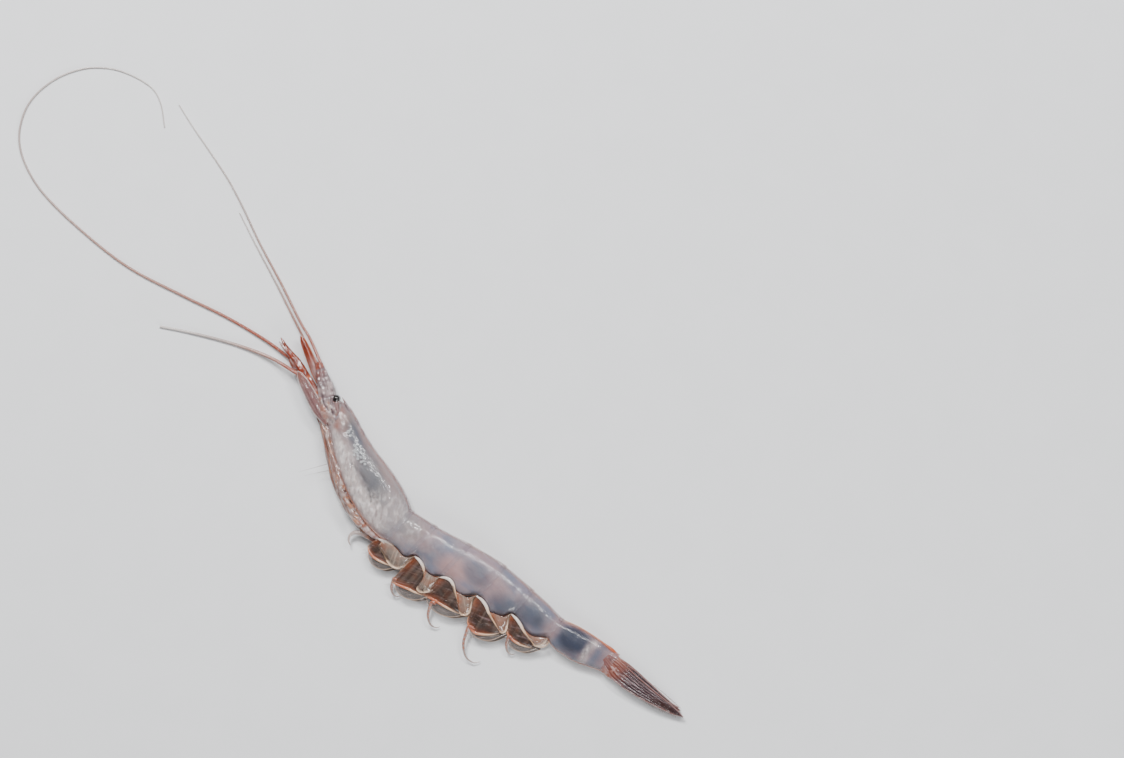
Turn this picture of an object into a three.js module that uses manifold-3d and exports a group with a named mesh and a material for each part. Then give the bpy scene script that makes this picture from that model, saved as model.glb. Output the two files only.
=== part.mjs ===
// A raw glass shrimp, whole, lying on its left or right flank as it is laid out for serving.
//
// Millimetres. +X runs towards the tail, +Y towards the back, +Z up. z = 0 is the surface that
// the flank rests on. The animal is one solid: carapace, six tail segments, tail fan, folded
// walking legs, swimming legs, antennal scales and eyes. Each whisker is a thin solid of its
// own, held by its socket at the front of the head.

import * as THREE from 'three';
import { mergeVertices } from 'three/addons/utils/BufferGeometryUtils.js';
import Module from 'manifold-3d';

const wasm = await Module();
wasm.setup();

// ---------------------------------------------------------------- driving dimensions

const HEAD_FRONT = -3.2; // where the carapace opens around the mouth and the eyes
const NECK = 13.9; // rear edge of the carapace
const TAIL_ROOT = 45.8; // rear edge of the sixth segment
const TAIL_TIP = 57.2; // point of the folded fan

const SEGMENT_ENDS = [17.4, 22.2, 27.3, 32.0, 37.2]; // rear rims of segments 1 to 5
const RIM_RISE = 0.13; // how far each rim stands over the segment behind it
const RIM_LENGTH = 1.5;
const ARCH_RISE = [0.35, 0.55, 0.6, 0.95, 1.0, 0.35]; // belly notches between the side plates
const ARCH_LENGTH = 2.6;

const REST_SINK = 0.46; // middle of each section, as a share of its thickness: flattens z = 0
const TRUNK_STATIONS = 46;
const TRUNK_SIDES = 18;

const FACET_TOLERANCE = 0.045; // facets that lie closer than this to one plane are merged

const WHISKER_SIDES = 5;
const FLOOR_CLEARANCE = 0.02; // a lying whisker stays this far above the resting plane
const EYE_RADIUS = 0.52;
const SWIMMERET_SPREAD = 0.95; // each leg of a pair lies this far from the middle plane

// The whole animal with its whiskers is centred on the origin by this move.
const CENTRING = new THREE.Vector3(0.065, 0.456, 0.0);

const FLESH = { color: 0xa79fa3, roughness: 0.28, metalness: 0.0 };
const WHISKER = { color: 0x9a6a5c, roughness: 0.4, metalness: 0.0 };

// ---------------------------------------------------------------- small helpers

// A smooth curve through [x, value] keys, given in rising x.
function profile(keys) {
  const slope = keys.map((key, i) => {
    const before = keys[Math.max(i - 1, 0)];
    const after = keys[Math.min(i + 1, keys.length - 1)];
    return (after[1] - before[1]) / (after[0] - before[0]);
  });
  return (x) => {
    const inside = Math.min(Math.max(x, keys[0][0]), keys[keys.length - 1][0]);
    const found = keys.findIndex((key, i) => i > 0 && inside <= key[0]);
    const i = Math.max(found, 1) - 1;
    const span = keys[i + 1][0] - keys[i][0];
    const t = (inside - keys[i][0]) / span;
    const rise = keys[i + 1][1] - keys[i][1];
    const bend = (1 - t) * (slope[i] * span - rise) - t * (slope[i + 1] * span - rise);
    return keys[i][1] + t * rise + t * (1 - t) * bend;
  };
}

// A closed skin over rings of equal length, with a fan of triangles at either end.
function loft(rings) {
  const sides = rings[0].length;
  const positions = rings.flat().flatMap((p) => [p.x, p.y, p.z]);
  const index = [];
  for (let r = 0; r < rings.length - 1; r += 1) {
    for (let s = 0; s < sides; s += 1) {
      const a = r * sides + s;
      const b = r * sides + ((s + 1) % sides);
      index.push(a, b, b + sides, a, b + sides, a + sides);
    }
  }
  for (const [r, front] of [[0, true], [rings.length - 1, false]]) {
    const middle = positions.length / 3;
    const centre = rings[r].reduce((sum, p) => sum.add(p), new THREE.Vector3()).divideScalar(sides);
    positions.push(centre.x, centre.y, centre.z);
    for (let s = 0; s < sides; s += 1) {
      const a = r * sides + s;
      const b = r * sides + ((s + 1) % sides);
      index.push(...(front ? [middle, b, a] : [middle, a, b]));
    }
  }
  const geometry = new THREE.BufferGeometry();
  geometry.setAttribute('position', new THREE.Float32BufferAttribute(positions, 3));
  geometry.setIndex(index);
  return geometry;
}

// A limb, blade or whisker: an oval section of the given width and height swept along a path.
// Width lies across the path in the resting plane, and height is upright.
function limb(points, width, height, steps, sides) {
  const path = new THREE.CatmullRomCurve3(points.map((p) => new THREE.Vector3(...p)), false, 'centripetal');
  const rings = [];
  for (let i = 0; i <= steps; i += 1) {
    const t = i / steps;
    const centre = path.getPointAt(t);
    const ahead = path.getTangentAt(t);
    const across = new THREE.Vector3(-ahead.y, ahead.x, 0).normalize();
    const ring = [];
    for (let s = 0; s < sides; s += 1) {
      const angle = (s / sides) * 2 * Math.PI;
      const p = centre.clone();
      p.addScaledVector(across, 0.5 * width(t) * Math.cos(angle));
      p.z = Math.max(p.z + 0.5 * height(t) * Math.sin(angle), 0);
      ring.push(p);
    }
    rings.push(ring);
  }
  return loft(rings);
}

function solid(geometry) {
  const bare = new THREE.BufferGeometry();
  bare.setAttribute('position', geometry.getAttribute('position').clone());
  bare.setIndex(geometry.getIndex());
  const merged = mergeVertices(bare, 1e-4);
  return new wasm.Manifold(new wasm.Mesh({
    numProp: 3,
    vertProperties: new Float32Array(merged.getAttribute('position').array),
    triVerts: new Uint32Array(merged.getIndex().array),
  }));
}

function geometryOf(manifold) {
  const mesh = manifold.getMesh();
  const geometry = new THREE.BufferGeometry();
  geometry.setAttribute('position', new THREE.Float32BufferAttribute(mesh.vertProperties, 3));
  geometry.setIndex(new THREE.Uint32BufferAttribute(mesh.triVerts, 1));
  geometry.computeVertexNormals();
  return geometry;
}

const tapered = (root, middle, tip) => profile([[0, root], [0.5, middle], [1, tip]]);

// ---------------------------------------------------------------- carapace and tail segments

const back = profile([
  [HEAD_FRONT, -1.0], [-2.2, -0.42], [-0.9, -0.17], [0.4, -0.45], [2.9, -1.29], [5.7, -1.96],
  [8.1, -2.34], [10.8, -2.98], [12.8, -3.76], [NECK, -4.36], [14.7, -4.22], [16.6, -3.9],
  [19.4, -3.26], [22.2, -2.46], [25.0, -1.78], [27.6, -1.38], [31.9, -1.22], [34.9, -1.18],
  [37.3, -1.33], [39.6, -0.6], [42.6, -0.06], [TAIL_ROOT, 0.22],
]);

const bellyLine = profile([
  [HEAD_FRONT, -3.2], [-1.2, -4.4], [2.7, -7.0], [6.4, -8.9], [9.2, -9.75], [12.0, -9.95],
  [NECK, -9.75], [16.5, -9.3], [20.3, -8.95], [25.0, -8.2], [30.0, -7.1], [35.3, -5.85],
  [37.9, -4.75], [41.0, -4.78], [44.1, -3.52], [TAIL_ROOT, -2.5],
]);

const thickness = profile([
  [HEAD_FRONT, 2.0], [-1.0, 2.9], [2.7, 3.8], [6.4, 4.35], [10.0, 4.5], [NECK, 4.0],
  [18.0, 3.6], [25.0, 3.35], [32.0, 3.1], [37.2, 2.8], [41.0, 2.55], [TAIL_ROOT, 1.8],
]);

function belly(x) {
  const notches = [NECK + 0.3, ...SEGMENT_ENDS].map((joint, i) => {
    const away = (x - joint) / (0.5 * ARCH_LENGTH);
    return ARCH_RISE[i] * Math.max(0, 1 - away * away);
  });
  return bellyLine(x) + Math.max(...notches);
}

// The rear rim of the carapace and of each segment lifts a little over the one behind it.
function rim(x) {
  const rises = [NECK, ...SEGMENT_ENDS].map((joint) => {
    const ahead = (joint - x) / RIM_LENGTH;
    return ahead >= 0 && ahead < 1 ? (1 - ahead) ** 2 : 0;
  });
  return RIM_RISE * Math.max(...rises);
}

function trunkRing(x) {
  const top = back(x) + rim(x);
  const bottom = belly(x);
  const across = thickness(x) + 2 * rim(x);
  const ring = [];
  for (let s = 0; s < TRUNK_SIDES; s += 1) {
    const angle = -(s / TRUNK_SIDES) * 2 * Math.PI;
    const round = Math.sign(Math.sin(angle)) * Math.abs(Math.sin(angle)) ** 0.9;
    const y = 0.5 * (top + bottom) + 0.5 * (top - bottom) * Math.cos(angle);
    const z = REST_SINK * across + 0.5 * across * round;
    ring.push(new THREE.Vector3(x, y, Math.max(z, 0)));
  }
  return ring;
}

function trunk() {
  const stations = [];
  for (let i = 0; i <= TRUNK_STATIONS; i += 1) {
    stations.push(HEAD_FRONT + ((TAIL_ROOT - HEAD_FRONT) * i) / TRUNK_STATIONS);
  }
  for (const joint of [NECK, ...SEGMENT_ENDS]) {
    stations.push(joint, joint + 0.12);
  }
  stations.sort((a, b) => a - b);
  const apart = stations.filter((x, i) => i === 0 || x - stations[i - 1] > 0.05);
  return loft(apart.map(trunkRing).map((ring) => ring.reverse()));
}

// ---------------------------------------------------------------- tail fan

// Three long blades lie folded on one another: the telson between a uropod on either flank.
function tailFan() {
  const narrowing = profile([[0, 0.75], [0.14, 1], [0.45, 0.84], [0.72, 0.6], [0.92, 0.3], [1, 0.06]]);
  const blades = [
    { lift: 1.2, height: 0.75, width: 2.5, drop: -0.05, tip: TAIL_TIP },
    { lift: 0.85, height: 0.7, width: 2.0, drop: 0.2, tip: TAIL_TIP - 0.9 },
    { lift: 0.42, height: 0.6, width: 2.4, drop: -0.12, tip: TAIL_TIP - 0.25 },
  ];
  return blades.map(({ lift, height, width, drop, tip }) => limb(
    [
      [TAIL_ROOT - 1.6, -1.15, lift + 0.2],
      [TAIL_ROOT + 1.6, -1.15 + drop, lift],
      [51.0, -0.85 + drop, 0.92 * lift],
      [54.6, -0.3 + 0.6 * drop, 0.8 * lift],
      [tip, 0.03, 0.7 * lift],
    ],
    (t) => width * narrowing(t),
    tapered(1.1 * height, height, 0.3 * height),
    10,
    8,
  ));
}

// ---------------------------------------------------------------- head

// Pairs lie on either flank: `side` is 1 for the upper one and -1 for the one that is lain on.
function headLimbs(side) {
  const level = 1.45 + 0.75 * side;
  const shift = side > 0 ? 0 : 0.35;
  const antennalScale = limb(
    [[-1.6, -3.5, level], [-3.6, -3.0, level], [-6.2, -2.05 + shift, level], [-8.5, -1.3 + shift, level - 0.2]],
    profile([[0, 1.2], [0.3, 1.9], [0.75, 1.6], [1, 0.5]]),
    tapered(0.7, 0.5, 0.3),
    8,
    8,
  );
  const antennuleStalk = limb(
    [[-1.0, -2.9, 1.5], [-3.3, -1.35, level - 0.25 * side], [-5.3, -0.1, level], [-7.1, 1.15 - 1.6 * shift, level]],
    profile([[0, 1.4], [0.28, 1.5], [0.45, 2.3], [0.72, 1.8], [1, 0.9]]),
    tapered(2.0, 1.5, 0.8),
    8,
    8,
  );
  return [antennalScale, antennuleStalk];
}

// The round-tipped inner scale stands over the antennule, and the claw of the first leg
// reaches past the head with its two fingers a little open.
function headFront() {
  const innerScale = limb(
    [[-4.6, -0.6, 1.5], [-6.9, 0.1, 1.6], [-9.2, 1.15, 1.5], [-11.5, 2.15, 1.3]],
    profile([[0, 1.6], [0.5, 1.2], [0.85, 0.9], [1, 0.35]]),
    tapered(0.9, 0.6, 0.3),
    8,
    8,
  );
  const palm = limb(
    [[-2.6, -3.2, 1.5], [-5.6, -1.65, 1.7], [-8.2, -0.92, 1.6], [-10.3, -0.5, 1.4]],
    profile([[0, 1.0], [0.6, 1.15], [1, 0.9]]),
    tapered(1.0, 0.9, 0.7),
    8,
    8,
  );
  const fingers = [[-13.1, -0.28], [-13.35, 0.28]].map(([x, y], i) => limb(
    [[-9.9, -0.62 + 0.28 * i, 1.4], [-11.7, -0.62 + 0.52 * i, 1.3], [x, y, 1.1]],
    tapered(0.6, 0.42, 0.12),
    tapered(0.6, 0.42, 0.14),
    6,
    6,
  ));
  const rostralTooth = limb(
    [[-0.7, -0.55, 2.1], [-1.7, -0.3, 2.05], [-2.35, 0.1, 2.0]],
    tapered(0.7, 0.45, 0.1),
    tapered(0.8, 0.4, 0.1),
    4,
    6,
  );
  return [innerScale, palm, ...fingers, rostralTooth];
}

// The stalks that carry the two long antennae, one on either flank.
function antennaStalks() {
  const ends = [[-8.65, -1.62, 1.75], [-10.5, -0.95, 0.62]];
  return ends.map(([x, y, z]) => limb(
    [[-4.4, -2.7, 1.5], [0.5 * (x - 4.4), 0.5 * (y - 2.9), 0.5 * (z + 1.5)], [x, y, z]],
    tapered(1.1, 1.0, 0.75),
    tapered(1.1, 0.9, 0.7),
    6,
    6,
  ));
}

function eyes() {
  return [2.5, 1.25].map((lift) => {
    const ball = new THREE.SphereGeometry(EYE_RADIUS, 12, 8);
    ball.scale(0.85, 1.1, 1.0);
    ball.translate(-2.75, -0.52, lift);
    return ball;
  });
}

// ---------------------------------------------------------------- walking legs

// The legs fold forward under the carapace and lie side by side along its lower edge.
const legLine = profile([
  [-4.6, -3.15], [-3.4, -3.9], [-1.2, -5.0], [2.7, -7.6], [4.4, -8.55], [6.4, -9.5], [9.2, -10.25],
  [11.9, -10.35], [13.4, -9.95],
]);

const LEGS = [
  { rear: 13.3, front: -4.3, inset: 0.0, lift: 1.35 },
  { rear: 11.6, front: -3.6, inset: 0.5, lift: 2.25 },
  { rear: 9.8, front: -2.8, inset: 0.95, lift: 2.85 },
  { rear: 11.4, front: -3.4, inset: 0.45, lift: 0.6 },
];

function walkingLegs() {
  return LEGS.map(({ rear, front, inset, lift }) => {
    const points = [0, 0.2, 0.4, 0.6, 0.8, 1].map((t) => {
      const x = rear + (front - rear) * t;
      return [x, legLine(x) + inset, lift + (1.45 - lift) * 0.5 * t];
    });
    return limb(points, tapered(0.95, 0.8, 0.4), tapered(1.0, 0.85, 0.45), 11, 6);
  });
}

// One leg tip springs clear of the bundle and curls under.
function hookedLeg() {
  return limb(
    [
      [14.6, -9.5, 1.4], [13.4, -10.3, 1.3], [12.3, -10.62, 1.25], [11.2, -10.95, 1.15],
      [10.5, -11.5, 1.05], [10.4, -12.2, 1.0], [10.75, -12.75, 0.95], [11.3, -13.0, 0.9],
    ],
    profile([[0, 0.9], [0.35, 0.75], [0.6, 0.5], [1, 0.25]]),
    tapered(0.9, 0.5, 0.25),
    12,
    6,
  );
}

// ---------------------------------------------------------------- swimming legs

// Each hangs from its side plate as a clear wedge. A narrow blade and a broad one reach forward
// from the wedge's foot, and a curled whip trails back from the narrow blade's joint.
const SWIMMERETS = [
  { root: [15.9, -8.6], foot: [16.3, -10.75], rootWidth: 3.4, footWidth: 1.9, blade: [13.6, -11.7], whip: 0 },
  { root: [21.2, -8.3], foot: [22.0, -10.85], rootWidth: 3.2, footWidth: 1.3, blade: [18.3, -12.2], whip: 0.5 },
  { root: [26.0, -7.7], foot: [27.4, -9.4], rootWidth: 3.2, footWidth: 1.2, blade: [23.9, -11.1], whip: 0.7 },
  { root: [30.6, -6.6], foot: [32.3, -7.7], rootWidth: 3.0, footWidth: 1.1, blade: [29.5, -10.1], whip: 1 },
  { root: [35.6, -5.3], foot: [37.1, -5.8], rootWidth: 2.4, footWidth: 0.9, blade: [34.0, -7.6], whip: 0.5 },
];

function swimmeret({ root, foot, rootWidth, footWidth, blade, whip }, side) {
  const level = 1.55 + SWIMMERET_SPREAD * side;
  const slide = side > 0 ? 0 : 0.5;
  const [x, y] = [foot[0] + slide, foot[1] + 0.2 * slide];
  const wedge = limb(
    [[root[0], root[1], level], [0.5 * (root[0] + x), 0.5 * (root[1] + y), level], [x, y, level]],
    profile([[0, rootWidth], [0.5, 0.55 * (rootWidth + footWidth)], [0.88, footWidth], [1, 0.45 * footWidth]]),
    tapered(1.2, 0.9, 0.5),
    5,
    7,
  );
  const narrow = limb(
    [[x + 0.5, y + 0.4, level], [0.5 * (x + blade[0]), 0.5 * (y + blade[1]) - 0.25, level], [...blade, level]],
    profile([[0, 0.5], [0.3, 1.3], [0.7, 1.2], [1, 0.5]]),
    tapered(0.5, 0.45, 0.4),
    7,
    6,
  );
  const broad = limb(
    [[x + 0.6, y + 0.5, level - 0.3], [0.5 * (x + blade[0]) + 0.3, 0.5 * (y + blade[1]), level - 0.35],
      [blade[0] + 0.7, blade[1] + 0.3, level - 0.4]],
    profile([[0, 0.9], [0.4, 2.1], [0.8, 1.7], [1, 0.5]]),
    tapered(0.4, 0.4, 0.35),
    6,
    6,
  );
  const pieces = [wedge, narrow, broad];
  if (whip > 0 && side > 0) {
    const turn = [[0.6, 0.2], [-0.15, -0.05], [0.1, -0.9], [0.9, -2.3], [2.2, -3.2], [3.4, -3.1], [4.0, -2.4]];
    pieces.push(limb(
      turn.map(([dx, dy], i) => [blade[0] + dx * whip, blade[1] + dy * whip, level - 0.19 * i * whip]),
      tapered(0.55, 0.42, 0.16),
      tapered(0.5, 0.4, 0.16),
      9,
      5,
    ));
  }
  return pieces;
}

// ---------------------------------------------------------------- the animal as one solid

function shrimpBody() {
  const pieces = [
    trunk(),
    ...tailFan(),
    ...headLimbs(1),
    ...headLimbs(-1),
    ...headFront(),
    ...antennaStalks(),
    ...eyes(),
    ...walkingLegs(),
    hookedLeg(),
    ...SWIMMERETS.flatMap((leg) => [...swimmeret(leg, 1), ...swimmeret(leg, -1)]),
  ];
  const whole = pieces.map(solid).reduce((joined, piece) => joined.add(piece));
  // Limbs that touch can pinch off a pocket of air between them: only the outer skin is kept.
  const skins = whole.simplify(FACET_TOLERANCE).decompose();
  return skins.reduce((outer, skin) => (skin.volume() > outer.volume() ? skin : outer));
}

// ---------------------------------------------------------------- whiskers

// Each leaves the head at its socket, sinks to the resting plane and lies there in its curve.
const WHISKERS = [
  {
    name: 'antenna_long',
    route: [
      [-10.95, -0.97], [-14.1, -1.3], [-20.0, -2.6], [-25.9, -4.4], [-33.4, -6.5], [-40.3, -7.2],
      [-47.9, -7.1], [-52.5, -5.8], [-55.4, -3.6], [-57.1, 0.0], [-56.9, 4.1], [-55.2, 7.8],
      [-52.8, 10.2], [-50.2, 11.5], [-47.0, 12.15], [-44.9, 11.5], [-42.4, 9.6],
    ],
    socket: 0.55,
    settles: 0.12,
    root: 0.44,
    tip: 0.16,
    steps: 52,
  },
  {
    name: 'antenna_short',
    route: [[-9.1, -1.76], [-12.0, -2.4], [-15.2, -3.6], [-19.1, -5.5], [-22.8, -7.6], [-25.5, -9.3]],
    socket: 1.8,
    settles: 0.5,
    root: 0.5,
    tip: 0.32,
    steps: 14,
  },
  {
    name: 'antennule_outer',
    route: [
      [-7.35, 1.42], [-10.6, 2.75], [-12.6, 3.3], [-17.8, 5.2], [-23.4, 7.1], [-28.2, 9.0],
      [-32.0, 10.3], [-36.6, 11.4], [-39.8, 12.1], [-43.0, 12.95],
    ],
    socket: 2.3,
    settles: 0.4,
    root: 0.4,
    tip: 0.16,
    steps: 26,
  },
  {
    name: 'antennule_inner',
    route: [[-7.4, 0.85], [-11.0, 2.1], [-13.8, 3.1], [-18.4, 4.8], [-23.5, 6.55], [-28.0, 8.2]],
    socket: 0.7,
    settles: 0.4,
    root: 0.38,
    tip: 0.16,
    steps: 16,
  },
];


function whisker({ name, route, socket, settles, root, tip, steps }) {
  const last = route.length - 1;
  const points = route.map(([x, y], i) => {
    const run = i / last;
    const thick = root + (tip - root) * run;
    const lying = 0.5 * thick + FLOOR_CLEARANCE;
    const drop = Math.max(0, 1 - run / settles);
    return [x, y, lying + (socket - lying) * drop * drop];
  });
  const thick = (t) => root + (tip - root) * t;
  const tube = limb(points, thick, thick, steps, WHISKER_SIDES);
  const mesh = new THREE.Mesh(tube, new THREE.MeshStandardMaterial(WHISKER));
  mesh.name = name;
  return mesh;
}

// ---------------------------------------------------------------- assembly

function bodyMesh() {
  const mesh = new THREE.Mesh(geometryOf(shrimpBody()), new THREE.MeshStandardMaterial(FLESH));
  mesh.name = 'shrimp_body';
  return mesh;
}

const shrimp = new THREE.Group();
shrimp.add(bodyMesh(), ...WHISKERS.map(whisker));
shrimp.position.copy(CENTRING);

export default shrimp;
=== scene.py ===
# %% [markdown]
# # A raw glass shrimp, dressed in Blender
#
# The shrimp lies on its flank on a pale table. Its working solids come from the frame: one body and
# four whiskers. This lesson builds everything the eye sees around them: milky flesh, a clear shell
# in overlapping plates, legs, swimming legs, the folded tail fan, the eye and the fine hairs.

# %% Load the frame and keep its box
import math

import bpy
import numpy as np
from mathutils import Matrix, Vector, noise


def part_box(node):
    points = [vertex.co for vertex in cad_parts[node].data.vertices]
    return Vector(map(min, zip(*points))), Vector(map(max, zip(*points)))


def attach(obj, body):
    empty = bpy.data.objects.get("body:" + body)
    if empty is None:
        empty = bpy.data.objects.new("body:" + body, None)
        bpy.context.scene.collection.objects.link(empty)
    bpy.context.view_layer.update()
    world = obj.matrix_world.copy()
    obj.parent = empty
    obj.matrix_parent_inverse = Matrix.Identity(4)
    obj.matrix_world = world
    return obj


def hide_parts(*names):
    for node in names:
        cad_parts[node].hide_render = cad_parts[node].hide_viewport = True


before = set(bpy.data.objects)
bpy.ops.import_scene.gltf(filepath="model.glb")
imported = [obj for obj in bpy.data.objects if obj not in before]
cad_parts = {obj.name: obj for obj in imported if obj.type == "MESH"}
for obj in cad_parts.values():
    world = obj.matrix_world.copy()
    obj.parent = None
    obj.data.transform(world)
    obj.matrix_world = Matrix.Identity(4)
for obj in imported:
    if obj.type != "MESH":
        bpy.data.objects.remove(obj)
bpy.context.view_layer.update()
print("frame nodes:", sorted(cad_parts))

# %% [markdown]
# ## Working in millimetres
#
# A shrimp is small, so every size below is in millimetres along the animal: x runs from the eye to
# the tail, y from the belly to the back, z up out of the table. The point of the tail fan and the
# lowest swimming leg tie these to the frame, so a change of the frame moves everything with it.

# %% Millimetres to the frame
MM = 0.001
TAIL_TIP = 57.21
LOWEST_WHIP = -13.94

body_low, body_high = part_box("shrimp_body")
SHIFT = np.array([body_high.x / MM - TAIL_TIP, body_low.y / MM - LOWEST_WHIP, 0.0])
print("shift from animal to frame, mm:", SHIFT.round(3))


def to_frame(points):
    """Points in animal millimetres, as an array of frame metres."""
    return (np.asarray(points, float) + SHIFT) * MM


# %% [markdown]
# ## Smooth outlines from a few points
#
# An animal's outline is smooth, so it is given by the few points where it bends. The helper passes
# a soft curve through them. It works on whole arrays, which keeps the dense meshes below quick.

# %% A smooth curve through a few points
def smooth_through(keys):
    """A function of x through [x, value] keys given in rising x."""
    xs, ys = np.array(keys, float).T
    slopes = np.gradient(ys, xs)
    slopes[1:-1] = (ys[2:] - ys[:-2]) / (xs[2:] - xs[:-2])

    def value(x):
        inside = np.clip(np.asarray(x, float), xs[0], xs[-1])
        i = np.clip(np.searchsorted(xs, inside) - 1, 0, len(xs) - 2)
        span = xs[i + 1] - xs[i]
        t = (inside - xs[i]) / span
        rise = ys[i + 1] - ys[i]
        bend = (1 - t) * (slopes[i] * span - rise) - t * (slopes[i + 1] * span - rise)
        return ys[i] + t * rise + t * (1 - t) * bend

    return value


def path_through(points, count):
    """`count` evenly spaced points on a soft curve through a few given ones."""
    given = np.array(points, float)
    reach = np.concatenate([[0], np.cumsum(np.linalg.norm(np.diff(given, axis=0), axis=1))])
    fine = np.linspace(0, reach[-1], 400)
    dense = np.stack([smooth_through(np.stack([reach, given[:, k]], 1))(fine) for k in range(3)], 1)
    walked = np.concatenate([[0], np.cumsum(np.linalg.norm(np.diff(dense, axis=0), axis=1))])
    even = np.linspace(0, walked[-1], count)
    return np.stack([np.interp(even, walked, dense[:, k]) for k in range(3)], 1)


def soft_step(x, low, high):
    """0 below low, 1 above high, and a soft rise between."""
    t = np.clip((np.asarray(x, float) - low) / (high - low), 0, 1)
    return t * t * (3 - 2 * t)


# %% [markdown]
# ## Meshes from grids of points
#
# Most pieces are sections strung along a path, like hoops under a tent. A grid of points becomes
# a mesh: `hoops` closes round the section and fills both ends, and `sheet_of` joins an outer and
# an inner grid into a thin wall closed at every edge, which is how a shell plate is made.

# %% Build meshes
def wall_volume(corners, faces):
    """Signed volume inside a closed mesh: below zero when its faces point inwards."""
    total = 0.0
    for face in faces:
        a = corners[face[0]]
        for k in range(1, len(face) - 1):
            total += float(np.dot(a, np.cross(corners[face[k]], corners[face[k + 1]])))
    return total / 6


def in_scene(name, data):
    """A new object that holds a mesh, a light or the camera, linked into the scene."""
    made = bpy.data.objects.new(name, data)
    bpy.context.scene.collection.objects.link(made)
    return made


def mesh_of(name, corners, edges, faces):
    """A mesh object from animal-millimetre corners."""
    mesh = bpy.data.meshes.new(name)
    mesh.from_pydata(to_frame(corners).tolist(), edges, faces)
    return in_scene(name, mesh)


def new_piece(name, corners, faces):
    """A smooth, closed mesh object with its faces turned outwards."""
    corners = np.asarray(corners, float)
    centred = corners - corners.mean(0)
    if wall_volume(centred, faces) < 0:
        faces = [face[::-1] for face in faces]
    piece = mesh_of(name, corners, [], faces)
    piece.data.polygons.foreach_set("use_smooth", [True] * len(faces))
    piece.data.update()
    return piece


# %% Faces over a grid of points
def grid_faces(rows, columns, wrap):
    """Quads over a grid of rows by columns, wrapping round the columns if asked."""
    faces = []
    for r in range(rows - 1):
        for c in range(columns if wrap else columns - 1):
            d = (c + 1) % columns
            start = r * columns
            faces.append((start + c, start + d, start + columns + d, start + columns + c))
    return faces


def hoops(name, grid):
    """A closed skin over a (rows, columns, 3) grid of hoops, filled at both ends."""
    rows, columns = grid.shape[:2]
    faces = grid_faces(rows, columns, wrap=True)
    ends = [grid[0].mean(0), grid[-1].mean(0)]
    head, tail = rows * columns, rows * columns + 1
    for c in range(columns):
        d = (c + 1) % columns
        faces.append((head, d, c))
        faces.append((tail, (rows - 1) * columns + c, (rows - 1) * columns + d))
    return new_piece(name, np.concatenate([grid.reshape(-1, 3), ends]), faces)


def sheet_of(name, outer, inner):
    """A thin wall between two (rows, columns, 3) grids, closed along all four edges."""
    rows, columns = outer.shape[:2]
    size = rows * columns
    faces = grid_faces(rows, columns, wrap=False)
    faces += [tuple(size + i for i in reversed(face)) for face in faces]
    around = [(0, c) for c in range(columns)] + [(r, columns - 1) for r in range(1, rows)]
    around += [(rows - 1, c) for c in range(columns - 2, -1, -1)]
    around += [(r, 0) for r in range(rows - 2, 0, -1)]
    for (r, c), (s, d) in zip(around, around[1:] + around[:1]):
        a, b = r * columns + c, s * columns + d
        faces.append((b, a, size + a, size + b))
    return new_piece(name, np.concatenate([outer.reshape(-1, 3), inner.reshape(-1, 3)]), faces)


def both_faces(values, shape):
    """A grid of values for the outer and the inner face of a thin wall, in the order of its points."""
    return np.tile(np.broadcast_to(values, shape).ravel(), 2)


# %% [markdown]
# ## Marks that the finishes read
#
# Where a colour sits on a real shrimp follows the body: orange along the back, which is partly a painted
# glow of the back-lit rim, and clear over the stomach. So each mesh carries named marks from 0 to 1 at its
# points, worked out from its own shape, and a material mixes its colours by them. They travel with the mesh
# and never slide.

# %% Store and read marks
def mark(piece, name, values):
    """Stores one number for each point of a piece, under a name that a material can read."""
    store = piece.data.attributes.new(name, "FLOAT", "POINT")
    every = np.broadcast_to(np.asarray(values, float).ravel(), len(piece.data.vertices))
    store.data.foreach_set("value", np.clip(every, 0, 1))


def read_back(piece, name):
    """The stored values of a mark."""
    values = np.zeros(len(piece.data.vertices))
    piece.data.attributes[name].data.foreach_get("value", values)
    return values


# %% Where a mark goes
def animal_points(piece):
    """The corners of a piece, back in animal millimetres."""
    flat = np.zeros(len(piece.data.vertices) * 3)
    piece.data.vertices.foreach_get("co", flat)
    return flat.reshape(-1, 3) / MM - SHIFT


def spot(points, centre, radii, lean=0.0):
    """A soft oval spot in x and y, leaning by an angle in degrees: 1 in its middle, 0 outside."""
    dx, dy = points[:, 0] - centre[0], points[:, 1] - centre[1]
    c, s = math.cos(math.radians(lean)), math.sin(math.radians(lean))
    along, across = (dx * c + dy * s) / radii[0], (dy * c - dx * s) / radii[1]
    return 1 - soft_step(np.sqrt(along**2 + across**2), 0.35, 1.0)


# %% [markdown]
# ## Finishes
#
# Three things make raw shrimp look raw: flesh that light enters and leaves again, a wet clear coat
# over it, and thin films that show what lies behind them. One helper adds a node with its settings
# and links, and colours are plain sRGB codes that one function turns to the linear values that the
# renderer needs.

# %% Colour and node helpers
def colour(code):
    """Linear colour from an sRGB hex code."""
    parts = [int(code[i : i + 2], 16) / 255 for i in (1, 3, 5)]
    linear = [p / 12.92 if p <= 0.04045 else ((p + 0.055) / 1.055) ** 2.4 for p in parts]
    return (*linear, 1.0)


def add(tree, kind, inputs=None, **settings):
    """Adds one node. `inputs` gives each socket a value, or the output of another node."""
    made = tree.nodes.new(kind)
    for key, value in settings.items():
        setattr(made, key, value)
    for socket, value in (inputs or {}).items():
        if isinstance(value, bpy.types.NodeSocket):
            tree.links.new(value, made.inputs[socket])
        else:
            made.inputs[socket].default_value = value
    return made


def new_finish(name, surface):
    """A material with its even surface values set, its node tree and its surface shader."""
    material = bpy.data.materials.new(name)
    material.use_nodes = True
    tree = material.node_tree
    shader = tree.nodes["Principled BSDF"]
    for socket, value in surface.items():
        shader.inputs[socket].default_value = value
    return material, tree, shader


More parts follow.
